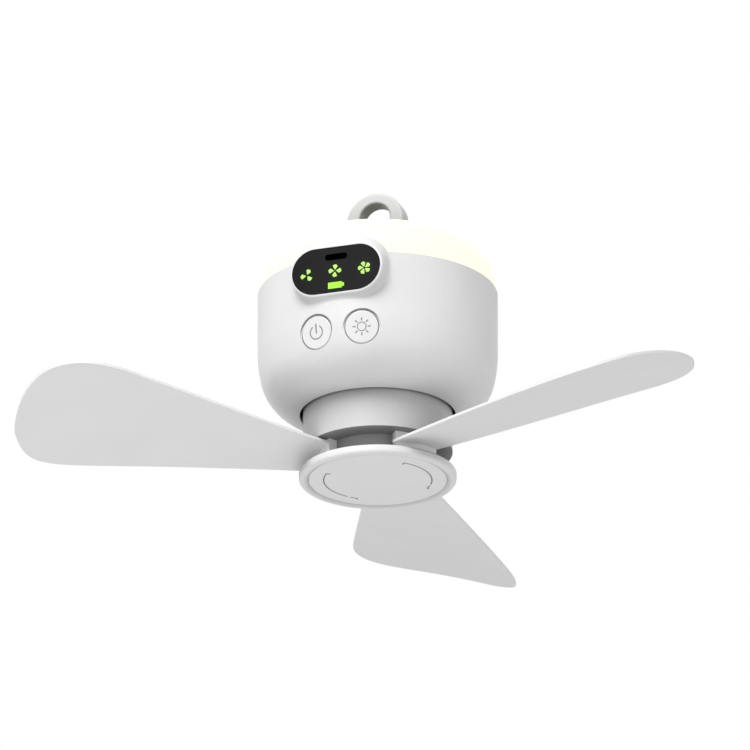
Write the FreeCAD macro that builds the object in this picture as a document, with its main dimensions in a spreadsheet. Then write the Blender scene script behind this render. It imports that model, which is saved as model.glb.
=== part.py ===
"""Portable hanging camping fan with a lamp: a round housing on a folding eye, three clipped-in blades.

The origin is the centre of the hanging eye, +Z is up and the display faces -Y. Sizes are in millimetres.
"""
import FreeCAD, Part
import math
import os
import re
import Sketcher

# Driving dimensions, each set once. Angles are in degrees.
SIZES = {
    # Hanging loop and its hinge
    "eye_height": 33.8,
    "eye_radius": 6.5,
    "loop_wall": 6.0,
    "loop_drop": 1.4,
    "loop_depth": 8.0,
    "loop_rounding": 1.0,
    "eye_floor": 1.6,
    "hinge_drop": 10.6,
    "pin_radius": 1.1,
    "knuckle_wall": 1.1,
    "pin_fit": 0.05,
    "pin_inset": 0.3,
    "leg_width": 5.0,
    "moving_gap": 0.3,
    # Lamp dome, its sunk dish and the base that carries the loop
    "dome_inset": 0.4,
    "dome_wall": 2.0,
    "dome_corner": 18.0,
    "base_radius": 17.5,
    "base_plate": 1.9,
    "base_foot_radius": 13.0,
    "base_foot": 2.0,
    "column_radius": 7.7,
    "seat_gap": 0.3,
    # Housing shell
    "body_radius": 50.0,
    "shell_wall": 2.0,
    "straight_height": 25.8,
    "waist_radius": 56.4,
    "waist_sweep": 12.9,
    "lower_radius": 19.83,
    "mouth_radius": 32.5,
    # Display pod
    "pod_drop": 7.5,
    "pod_proud": 1.8,
    "pod_depth": 9.0,
    "pod_flare": 1.5,
    "pod_top_flare": 9.5,
    "pod_bottom_flare": 3.0,
    "pod_blend": 2.0,
    "pod_rim": 0.95,
    "window_width": 38.6,
    "window_height": 20.2,
    "window_thick": 1.2,
    "window_fit": 0.1,
    "display_depth": 3.8,
    "light_box_width": 34.0,
    "light_box_height": 16.0,
    "light_box_shift": 0.9,
    "icon_pitch": 12.6,
    "icon_radius": 3.0,
    "icon_drop": 0.85,
    "battery_icon_drop": 7.0,
    "battery_icon_width": 6.9,
    "battery_icon_height": 2.7,
    "receiver_rise": 5.6,
    "receiver_width": 9.7,
    "receiver_height": 2.6,
    "receiver_inset": 1.0,
    "receiver_fit": 0.2,
    "display_led_side": 2.4,
    "board_margin": 1.0,
    # Push buttons
    "button_drop": 32.9,
    "button_angle": 11.7,
    "button_radius": 7.0,
    "button_sink": 0.4,
    "button_lean": 7.2,
    "button_rounding": 0.6,
    "button_travel": 0.8,
    "flange_radius": 8.4,
    "flange_thick": 1.0,
    "groove_radius": 7.9,
    "groove_depth": 1.3,
    "stem_radius": 1.8,
    "stem_length": 3.2,
    "switch_side": 6.0,
    "switch_height": 3.4,
    "switch_plunger": 0.9,
    "plunger_inset": 0.2,
    "switch_board_side": 14.0,
    "bracket_half_angle": 24.0,
    # Boards, deck and their fasteners
    "board_thick": 1.6,
    "deck_drop": 2.3,
    "deck_thick": 3.2,
    "deck_step": 1.2,
    "notch_side": 3.0,
    "notch_gap": 1.0,
    "led_board_inner": 18.0,
    "led_board_outer": 41.0,
    "led_circle": 36.0,
    "led_count": 24,
    "led_side": 3.2,
    "led_height": 0.8,
    "post_inset": 3.4,
    "post_radius": 3.6,
    "post_length": 18.0,
    "post_count": 3,
    "screw_radius": 1.25,
    "screw_head_radius": 2.3,
    "screw_head": 1.6,
    "screw_fit": 0.05,
    "screw_end_gap": 1.0,
    "hook_screw_gap": 0.4,
    "deck_screw_bite": 7.0,
    "post_screw_depth": 9.0,
    "cut_over": 1.0,
    # Battery
    "cell_radius": 9.15,
    "cell_length": 65.0,
    "cell_pitch": 18.6,
    "cell_gap": 1.25,
    "cell_fit": 0.15,
    "tray_height": 8.0,
    "tray_length": 67.0,
    "tray_floor": 1.8,
    "tray_side": 1.2,
    "leg_x": 20.0,
    "leg_y": 17.0,
    "leg_radius": 4.0,
    "leg_shoulder": 3.0,
    "leg_tip_radius": 2.5,
    "leg_screw_length": 9.0,
    "board_fit": 0.2,
    "main_board_radius": 32.3,
    "chip_side": 8.0,
    "chip_x": 7.5,
    "chip_height": 1.4,
    "choke_height": 2.6,
    # Charging port
    "port_width": 9.0,
    "port_height": 3.2,
    "port_wall": 0.35,
    "port_length": 7.3,
    "port_sink": 0.6,
    "port_fit": 0.2,
    "port_board_gap": 1.5,
    "port_board_width": 16.0,
    "tongue_width": 6.6,
    "tongue_thick": 0.7,
    "tongue_sink": 1.2,
    # Motor
    "mount_drop": 33.7,
    "mount_thick": 2.5,
    "lobe_inset": 11.5,
    "lobe_radius": 4.6,
    "lobe_reach": 5.5,
    "lobe_overlap": 3.0,
    "leg_inset": 0.6,
    "leg_foot_gap": 3.0,
    "tube_radius": 7.5,
    "tube_length": 22.3,
    "tube_neck": 3.4,
    "bearing_radius": 5.0,
    "bearing_width": 4.0,
    "shaft_radius": 1.97,
    "shaft_fit": 0.03,
    "shaft_top": 1.7,
    "clip_radius": 3.2,
    "clip_thick": 0.6,
    "clip_gap": 0.15,
    "stator_radius": 20.0,
    "stator_height": 10.0,
    "stator_drop": 7.0,
    "yoke_radius": 10.5,
    "tooth_count": 9,
    "tooth_width": 2.6,
    "shoe_thick": 1.8,
    "shoe_half_angle": 16.0,
    "tooth_overlap": 0.8,
    "coil_bulge": 2.2,
    "coil_rise": 1.4,
    "coil_clear": 0.4,
    "coil_shoe_gap": 1.0,
    "magnet_gap": 0.6,
    "magnet_thick": 3.4,
    "magnet_height": 12.0,
    "magnet_count": 14,
    "magnet_fill": 22.0,
    "bell_wall": 1.5,
    "bell_height": 20.0,
    "bell_start": 5.0,
    # Hub, carrier and cap
    "mouth_gap": 1.4,
    "collar_height": 16.4,
    "drum_entry": 2.6,
    "drum_wall": 2.0,
    "drum_boss_radius": 19.5,
    "root_height": 8.5,
    "core_radius": 21.7,
    "socket_radius": 9.4,
    "socket_roof": 2.7,
    "lug_reach": 2.2,
    "lug_thick": 2.0,
    "lug_angle": 40.0,
    "lug_shelf": 2.3,
    "slot_angle": 46.0,
    "sleeve_wall": 2.5,
    "lug_fit": 0.4,
    "nut_radius": 4.0,
    "nut_height": 3.0,
    "shaft_end": 1.0,
    "hub_screw_circle": 16.0,
    "hub_screw_radius": 1.5,
    "hub_head_radius": 2.7,
    "hub_head_sink": 0.6,
    "cap_gap": 0.3,
    "cap_overhang": 1.7,
    "cap_height": 4.2,
    "cap_rounding": 1.7,
    "cap_top_rounding": 1.2,
    "cap_rim": 3.95,
    "rim_slope": 2.1,
    "disc_thick": 1.0,
    "disc_sink": 0.75,
    "disc_fit": 0.15,
    # Blades
    "blade_count": 3,
    "first_blade_angle": 92.1,
    "root_radius": 26.0,
    "root_half_angle": 26.4,
    "root_overlap": 3.0,
    "root_rounding": 3.0,
    "root_fit": 0.15,
    "tongue_neck_half": 3.0,
    "tongue_head_half": 5.0,
    "tongue_head_reach": 3.4,
    "tongue_reach": 7.0,
    "tongue_drop": 1.2,
    "blade_thick": 1.1,
    "blade_drop": 3.2,
    "root_lead": 11.4,
    "root_trail": 12.9,
    "lead_end_station": 115.6,
    "lead_end": 47.0,
    "trail_end_station": 94.3,
    "trail_end": 17.0,
    "tip_station": 153.2,
    "tip_offset": 3.4,
    "tip_lean": 24.8,
    "lead_handle": 48.5,
    "tip_lead_handle": 5.2,
    "tip_trail_handle": 19.2,
    "trail_handle": 44.9,
    "root_pitch": 8.0,
    "tip_pitch": 21.3,
    "cone_rise": 0.9,
    "tip_camber": 6.7,
    "camber_span": 50.0,
    "sheet_half_width": 62.0,
    "sheet_end": 10.0,
}

# Places worked out from the driving dimensions. Heights are measured from the eye's centre.
BODY_TOP = "(-eye_height)"
PIN_Y = "(loop_depth / 2 - pin_radius - knuckle_wall)"
PIN_Z = "(-hinge_drop)"
KNUCKLE = "(pin_radius + knuckle_wall)"
LOOP_RADIUS = "(eye_radius + loop_wall)"
DOME_TOP = f"({PIN_Z} - {KNUCKLE} - moving_gap)"
DISH = f"({DOME_TOP} - base_plate)"
DOME_RADIUS = "(body_radius - dome_inset)"
DECK_TOP = f"({BODY_TOP} - deck_drop + deck_thick)"
DECK_BOTTOM = f"({BODY_TOP} - deck_drop)"
INNER_RADIUS = "(body_radius - shell_wall)"
WAIST_X = "(body_radius - waist_radius)"
WAIST_Z = f"({BODY_TOP} - straight_height)"
LOWER_X = f"({WAIST_X} + (waist_radius - lower_radius) * cos(waist_sweep))"
LOWER_Z = f"({WAIST_Z} - (waist_radius - lower_radius) * sin(waist_sweep))"
MOUTH_Z = f"({LOWER_Z} - sqrt(lower_radius ^ 2 - (mouth_radius - {LOWER_X}) ^ 2))"
FLOOR_Z = f"({LOWER_Z} - sqrt((lower_radius - shell_wall) ^ 2 - (mouth_radius - {LOWER_X}) ^ 2))"
POD_Z = f"({BODY_TOP} - pod_drop)"
POD_FACE = "(body_radius + pod_proud)"
WINDOW_BACK = f"({POD_FACE} - window_thick)"
DISPLAY_BOARD_Y = f"({INNER_RADIUS} - display_depth)"
BUTTON_Z = f"({BODY_TOP} - button_drop)"
BUTTON_DROP = f"({WAIST_Z} - {BUTTON_Z})"
BUTTON_FACE = f"({WAIST_X} + sqrt(waist_radius ^ 2 - {BUTTON_DROP} ^ 2) - button_sink)"
FLANGE_LOW = f"({BUTTON_Z} - flange_radius - {LOWER_Z})"
FLANGE_FACE = f"({LOWER_X} + sqrt((lower_radius - shell_wall) ^ 2 - {FLANGE_LOW} ^ 2) - moving_gap)"
STEM_END = f"({FLANGE_FACE} - flange_thick - stem_length)"
SWITCH_TOP = f"({STEM_END} - button_travel - moving_gap / 2)"
SWITCH_BOARD = f"({SWITCH_TOP} - switch_height)"
CELL_Z = f"({DECK_BOTTOM} - cell_gap - cell_radius)"
TRAY_BOTTOM = f"({CELL_Z} - cell_radius - cell_fit - tray_floor)"
MAIN_BOARD_TOP = f"({TRAY_BOTTOM} - leg_shoulder)"
MAIN_BOARD_BOTTOM = f"({MAIN_BOARD_TOP} - board_thick)"
PORT_Z = f"({MAIN_BOARD_TOP} + port_height / 2)"
MOUNT_TOP = f"({BODY_TOP} - mount_drop)"
MOUNT_BOTTOM = f"({MOUNT_TOP} - mount_thick)"
POST_CIRCLE = f"({INNER_RADIUS} - post_inset)"
LOBE_CIRCLE = "(body_radius - lobe_inset)"
MOUNT_RADIUS = f"({LOBE_CIRCLE} - lobe_reach)"
TUBE_BOTTOM = f"({MOUNT_BOTTOM} - tube_length)"
STATOR_TOP = f"({MOUNT_BOTTOM} - stator_drop)"
STATOR_BOTTOM = f"({STATOR_TOP} - stator_height)"
STATOR_MIDDLE = f"({STATOR_TOP} - stator_height / 2)"
MAGNET_INNER = "(stator_radius + magnet_gap)"
BELL_INNER = f"({MAGNET_INNER} + magnet_thick)"
BELL_RADIUS = f"({BELL_INNER} + bell_wall)"
BELL_BOTTOM = f"({MOUNT_BOTTOM} - bell_start - bell_height)"
COLLAR_RADIUS = "(mouth_radius - mouth_gap)"
COLLAR_BOTTOM = f"({MOUTH_Z} - collar_height)"
ROOT_BOTTOM = f"({COLLAR_BOTTOM} - root_height)"
SOCKET_ROOF = f"({COLLAR_BOTTOM} - socket_roof)"
SHELF_Z = f"({ROOT_BOTTOM} + lug_shelf)"
CAP_TOP = f"({ROOT_BOTTOM} - cap_gap)"
CAP_BOTTOM = f"({CAP_TOP} - cap_height)"
CAP_RADIUS = f"({COLLAR_RADIUS} + cap_overhang)"
LUG_INNER = "(socket_radius - lug_fit)"
LUG_OUTER = f"({LUG_INNER} + lug_reach)"
LUG_TOP = f"({SHELF_Z} + cap_gap + lug_thick)"
BLADE_Z = f"({COLLAR_BOTTOM} - blade_drop)"
HUB_SEAT = f"({ROOT_BOTTOM} + hub_head_sink + screw_head)"
HUB_SCREW_ANGLE = "(first_blade_angle + 180 / blade_count)"
SHAFT_BOTTOM = f"({SOCKET_ROOF} - nut_height - shaft_end)"
LIGHT_BOX_Z = f"({POD_Z} - light_box_shift)"

DOC = FreeCAD.newDocument("CampingFan")
SHEET = DOC.addObject("Spreadsheet::Sheet", "Sizes")
PARTS = []
NEAR = 0.01


def fill_sheet():
    """Write every driving dimension to the sheet as text, with its alias beside its name."""
    for row, (name, size) in enumerate(SIZES.items(), start=1):
        SHEET.set(f"A{row}", name)
        SHEET.set(f"B{row}", str(size))
        SHEET.setAlias(f"B{row}", name)
    DOC.recompute()


def named(text):
    """Turn each size's name in an expression into a reference to the sheet."""
    return re.sub(r"[a-z][a-z_0-9]*", lambda word: "Sizes." + word.group() if word.group() in SIZES
                  else word.group(), str(text))


def number(text):
    """The present value of an expression, used to start a sketch near its solution."""
    found = SHEET.evalExpression(named(text))
    return float(getattr(found, "Value", found))


def bind(item, prop, text):
    item.setExpression(prop, named(text))


def turned(x, y, degrees):
    """A point given in turned coordinates, as a pair of expressions."""
    return (f"({x}) * cos({degrees}) - ({y}) * sin({degrees})",
            f"({x}) * sin({degrees}) + ({y}) * cos({degrees})")


def new_body(label):
    body = DOC.addObject("PartDesign::Body", label)
    body.Label = label
    body.AllowCompound = True
    PARTS.append(body)
    return body


def sketch_on(body, role, offset="0"):
    plane = next(item for item in body.Origin.OriginFeatures if item.Role == role)
    sketch = body.newObject("Sketcher::SketchObject", body.Label + "_sketch")
    sketch.AttachmentSupport = [(plane, "")]
    sketch.MapMode = "FlatFace"
    bind(sketch, "AttachmentOffset.Base.z", offset)
    return sketch


def pin_point(sketch, geometry, position, x, y):
    """Hold a point of a sketch at two expressions."""
    for kind, text in (("DistanceX", x), ("DistanceY", y)):
        index = sketch.addConstraint(Sketcher.Constraint(kind, -1, 1, geometry, position, number(text)))
        bind(sketch, f"Constraints[{index}]", text)


def add_circle(sketch, x, y, radius):
    centre = FreeCAD.Vector(number(x), number(y), 0)
    circle = Part.Circle(centre, FreeCAD.Vector(0, 0, 1), number(radius))
    geometry = sketch.addGeometry(circle)
    pin_point(sketch, geometry, 3, x, y)
    index = sketch.addConstraint(Sketcher.Constraint("Radius", geometry, number(radius)))
    bind(sketch, f"Constraints[{index}]", radius)


def add_outline(sketch, points):
    """Draw a closed outline. A third item is the radius of the arc to the next point, + bulging left."""
    geometry = []
    for place, point in enumerate(points):
        following = points[(place + 1) % len(points)]
        start = FreeCAD.Vector(number(point[0]), number(point[1]), 0)
        end = FreeCAD.Vector(number(following[0]), number(following[1]), 0)
        if len(point) == 2:
            index = sketch.addGeometry(Part.LineSegment(start, end))
            geometry.append((index, 1, 2))
            continue
        radius = number(point[2])
        turn = math.copysign(1, point[3])
        middle = (start + end) / 2
        chord = end - start
        height = math.sqrt(max(radius ** 2 - (chord.Length / 2) ** 2, 0))
        left = FreeCAD.Vector(-chord.y, chord.x, 0).normalize()
        centre = middle + left * height * turn
        from_point, to_point = (start, end) if turn > 0 else (end, start)
        from_angle = math.atan2(from_point.y - centre.y, from_point.x - centre.x)
        to_angle = math.atan2(to_point.y - centre.y, to_point.x - centre.x)
        circle = Part.Circle(centre, FreeCAD.Vector(0, 0, 1), radius)
        index = sketch.addGeometry(Part.ArcOfCircle(circle, from_angle, to_angle))
        held = sketch.addConstraint(Sketcher.Constraint("Radius", index, radius))
        bind(sketch, f"Constraints[{held}]", point[2])
        geometry.append((index, 1, 2) if turn > 0 else (index, 2, 1))
    for place, point in enumerate(points):
        index, start, _ = geometry[place]
        before, _, end = geometry[place - 1]
        sketch.addConstraint(Sketcher.Constraint("Coincident", before, end, index, start))
        pin_point(sketch, index, start, point[0], point[1])


def rectangle(x_low, y_low, x_high, y_high):
    return [(x_low, y_low), (x_high, y_low), (x_high, y_high), (x_low, y_high)]


def stadium(x, y, width, height):
    """A level pill: two straight sides joined by half circles, each drawn as two quarter arcs."""
    flat = f"({width} - {height}) / 2"
    end = f"({width}) / 2"
    half = f"({height}) / 2"
    return [
        (f"{x} - {flat}", f"{y} - {half}"),
        (f"{x} + {flat}", f"{y} - {half}", half, 1),
        (f"{x} + {end}", y, half, 1),
        (f"{x} + {flat}", f"{y} + {half}"),
        (f"{x} - {flat}", f"{y} + {half}", half, 1),
        (f"{x} - {end}", y, half, 1),
    ]


def revolve(body, role, outline, axis="V_Axis", cutting=False):
    sketch = sketch_on(body, role)
    add_outline(sketch, outline)
    kind = "Groove" if cutting else "Revolution"
    feature = body.newObject("PartDesign::" + kind, body.Label + "_" + kind.lower())
    feature.Profile = sketch
    feature.ReferenceAxis = (sketch, [axis])
    feature.Angle = 360
    return feature


def extrude(body, role, outlines, offset, length, cutting=False, symmetric=False, backward=False,
            circles=()):
    """Pad or pocket outlines and circles drawn on a plane that lies at the offset."""
    sketch = sketch_on(body, role, offset)
    for outline in outlines:
        add_outline(sketch, outline)
    for circle in circles:
        add_circle(sketch, *circle)
    kind = "Pocket" if cutting else "Pad"
    feature = body.newObject("PartDesign::" + kind, body.Label + "_" + kind.lower())
    feature.Profile = sketch
    feature.SideType = "Symmetric" if symmetric else "One side"
    feature.Reversed = backward
    bind(feature, "Length", length)
    return feature


def polar(body, features, count):
    """Repeat features evenly about the Z axis."""
    pattern = body.newObject("PartDesign::PolarPattern", body.Label + "_pattern")
    pattern.Originals = features
    axis = next(item for item in body.Origin.OriginFeatures if item.Role == "Z_Axis")
    pattern.Axis = (axis, [""])
    pattern.Angle = 360
    bind(pattern, "Occurrences", count)
    body.Tip = pattern
    return pattern


def fillet(body, base, radius, wanted):
    """Round the edges of a feature whose middle point passes the test."""
    DOC.recompute()
    names = [f"Edge{place}" for place, edge in enumerate(base.Shape.Edges, start=1)
             if wanted(edge, edge.valueAt((edge.FirstParameter + edge.LastParameter) / 2))]
    feature = body.newObject("PartDesign::Fillet", body.Label + "_rounding")
    feature.Base = (base, names)
    bind(feature, "Radius", radius)
    return feature


def place(item, angle="0", x="0", y="0", z="0"):
    """Turn a sub-part about Z and move it."""
    item.Placement = FreeCAD.Placement(FreeCAD.Vector(0, 0, 0), FreeCAD.Rotation(FreeCAD.Vector(0, 0, 1), 0))
    bind(item, "Placement.Rotation.Angle", angle)
    bind(item, "Placement.Base.x", x)
    bind(item, "Placement.Base.y", y)
    bind(item, "Placement.Base.z", z)


def ring(label, inner, outer, bottom, top):
    body = new_body(label)
    revolve(body, "XZ_Plane", rectangle(inner, bottom, outer, top))
    return body


def sector(inner, outer, half_angle):
    """An arc-sided outline about the X axis, between two radii."""
    return [
        (f"({inner}) * cos({half_angle})", f"-({inner}) * sin({half_angle})"),
        (f"({outer}) * cos({half_angle})", f"-({outer}) * sin({half_angle})", outer, 1),
        (f"({outer}) * cos({half_angle})", f"({outer}) * sin({half_angle})"),
        (f"({inner}) * cos({half_angle})", f"({inner}) * sin({half_angle})", inner, -1),
    ]


def make_hanging_loop():
    """A flat-sided eye on two legs, which straddle the boss of the base and fold back over it."""
    body = new_body("hanging_loop")
    foot = f"({PIN_Z} - {KNUCKLE})"
    inner = f"({LOOP_RADIUS} - leg_width)"
    floor = "(-eye_radius - eye_floor)"
    outline = [
        (f"-{LOOP_RADIUS}", "-loop_drop"),
        (f"-{LOOP_RADIUS}", foot),
        (f"-{inner}", foot),
        (f"-{inner}", floor),
        (inner, floor),
        (inner, foot),
        (LOOP_RADIUS, foot),
        (LOOP_RADIUS, "-loop_drop", LOOP_RADIUS, 1),
        ("0", f"{LOOP_RADIUS} - loop_drop", LOOP_RADIUS, 1),
    ]
    extrude(body, "XZ_Plane", [outline], "0", "loop_depth", symmetric=True)
    eye = extrude(body, "XZ_Plane", [], "0", "loop_depth * 2", cutting=True, symmetric=True,
                  circles=[("0", "0", "eye_radius")])
    back = number("loop_depth") / 2
    bottom = number(foot)
    knuckle = fillet(body, eye, f"{KNUCKLE} - {NEAR}",
                     lambda edge, at: abs(at.y - back) < NEAR and abs(at.z - bottom) < NEAR)
    low = number(floor) + NEAR
    side = number(LOOP_RADIUS)
    shortest = number("loop_rounding") * 3

    def rounded(edge, at):
        on_face = abs(abs(at.y) - back) < NEAR
        outside = abs(abs(at.x) - side) < NEAR or at.z > low
        return on_face and outside and edge.Length > shortest
    fillet(body, knuckle, "loop_rounding", rounded)
    extrude(body, "YZ_Plane", [], "0", f"{LOOP_RADIUS} * 4", cutting=True, symmetric=True,
            circles=[(PIN_Y, PIN_Z, "pin_radius + pin_fit")])


def make_loop_pin():
    body = new_body("loop_pin")
    extrude(body, "YZ_Plane", [], "0", f"({LOOP_RADIUS} - pin_inset) * 2", symmetric=True,
            circles=[(PIN_Y, PIN_Z, "pin_radius")])


def make_hook_base():
    """The plate in the dome's dish, with the boss for the pin above and a column to the deck below."""
    body = new_body("hook_base")
    foot_top = f"({DECK_TOP} + base_foot)"
    revolve(body, "XZ_Plane", [
        ("0", DECK_TOP),
        ("base_foot_radius", DECK_TOP),
        ("base_foot_radius", foot_top),
        ("column_radius", foot_top),
        ("column_radius", DISH),
        ("base_radius", DISH),
        ("base_radius", DOME_TOP),
        ("0", DOME_TOP),
    ])
    extrude(body, "YZ_Plane", [[
        (f"{PIN_Y} - {KNUCKLE}", f"{DISH} + base_plate / 2"),
        (f"{PIN_Y} + {KNUCKLE}", f"{DISH} + base_plate / 2"),
        (f"{PIN_Y} + {KNUCKLE}", PIN_Z, KNUCKLE, 1),
        (PIN_Y, f"{PIN_Z} + {KNUCKLE}", KNUCKLE, 1),
        (f"{PIN_Y} - {KNUCKLE}", PIN_Z),
    ]], "0", f"({LOOP_RADIUS} - leg_width - moving_gap) * 2", symmetric=True)
    extrude(body, "YZ_Plane", [], "0", f"{LOOP_RADIUS} * 4", cutting=True, symmetric=True,
            circles=[(PIN_Y, PIN_Z, "pin_radius")])
    holes = extrude(body, "XY_Plane", [], foot_top, "base_foot + cut_over", cutting=True,
                    circles=[("(base_foot_radius + column_radius) / 2", "0", "screw_radius + screw_fit")])
    polar(body, [holes], "post_count")


def screw_set(label, circle, count, head_z, length, radius="screw_radius", head="screw_head_radius",
              height="screw_head", first="0", upward=False):
    """A ring of like screws, each a headed pin of its own, with the head's seat at head_z."""
    body = new_body(label)
    shank = extrude(body, "XY_Plane", [], head_z, length, backward=not upward,
                    circles=[turned(circle, "0", first) + (radius,)])
    top = extrude(body, "XY_Plane", [], head_z, height, backward=upward,
                  circles=[turned(circle, "0", first) + (head,)])
    polar(body, [shank, top], count)
    return body


def make_lamp():
    """The dome, the deck under it, and the ring of lamp chips on their board."""
    dome = new_body("lamp_diffuser")
    inner = f"({DOME_RADIUS} - dome_wall)"
    corner_z = f"({DOME_TOP} - dome_corner)"
    flat = f"({DOME_RADIUS} - dome_corner)"
    hole = "(base_foot_radius + seat_gap)"
    dish = "(base_radius + seat_gap)"
    under = f"({DOME_TOP} - dome_wall)"
    revolve(dome, "XZ_Plane", [
        (DOME_RADIUS, BODY_TOP),
        (DOME_RADIUS, corner_z, "dome_corner", 1),
        (flat, DOME_TOP),
        (dish, DOME_TOP),
        (dish, DISH),
        (hole, DISH),
        (hole, f"{DISH} - dome_wall"),
        (f"{dish} + dome_wall", f"{DISH} - dome_wall"),
        (f"{dish} + dome_wall", under),
        (flat, under, "dome_corner - dome_wall", -1),
        (inner, corner_z),
        (inner, BODY_TOP),
    ])
    deck = new_body("lamp_deck")
    revolve(deck, "XZ_Plane", [
        ("0", DECK_BOTTOM),
        (f"{INNER_RADIUS} - seat_gap", DECK_BOTTOM),
        (f"{INNER_RADIUS} - seat_gap", f"{DECK_TOP} - deck_step"),
        (f"{inner} - seat_gap", f"{DECK_TOP} - deck_step"),
        (f"{inner} - seat_gap", DECK_TOP),
        ("0", DECK_TOP),
    ])
    front = f"(-{DISPLAY_BOARD_Y} + board_thick + notch_gap)"
    side = "(light_box_width / 2 + notch_side)"
    extrude(deck, "XY_Plane", [rectangle(f"-{side}", "-body_radius", side, front)], f"{DECK_TOP} + cut_over",
            "deck_thick + 2 * cut_over", cutting=True)
    holes = extrude(deck, "XY_Plane", [], f"{DECK_TOP} + cut_over", "deck_thick + 2 * cut_over", cutting=True,
                    circles=[turned(POST_CIRCLE, "0", "90") + ("screw_radius + screw_fit",),
                             ("(base_foot_radius + column_radius) / 2", "0", "screw_radius + screw_fit")])
    polar(deck, [holes], "post_count")
    ring("led_ring_board", "led_board_inner", "led_board_outer", DECK_TOP, f"{DECK_TOP} + board_thick")
    chips = new_body("led_chips")
    chip = extrude(chips, "XY_Plane", [rectangle("led_circle - led_side / 2", "-led_side / 2",
                                                 "led_circle + led_side / 2", "led_side / 2")],
                   f"{DECK_TOP} + board_thick", "led_height")
    polar(chips, [chip], "led_count")
    screw_set("hook_screws", "(base_foot_radius + column_radius) / 2", "post_count",
              f"{DECK_TOP} + base_foot", "base_foot + deck_thick - hook_screw_gap")
    screw_set("deck_screws", POST_CIRCLE, "post_count", DECK_TOP, "deck_thick + deck_screw_bite", first="90")


def body_outline(wall):
    """The housing's outline from the top edge to the mouth, drawn in by a wall."""
    x = f"(body_radius - {wall})"
    waist = f"(waist_radius - {wall})"
    lower = f"(lower_radius - {wall})"
    mouth = f"({LOWER_Z} - sqrt({lower} ^ 2 - (mouth_radius - {LOWER_X}) ^ 2))"
    return [
        (x, BODY_TOP),
        (x, WAIST_Z, waist, -1),
        (f"{WAIST_X} + {waist} * cos(waist_sweep)", f"{WAIST_Z} - {waist} * sin(waist_sweep)", lower, -1),
        ("mouth_radius", mouth),
    ]


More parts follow.
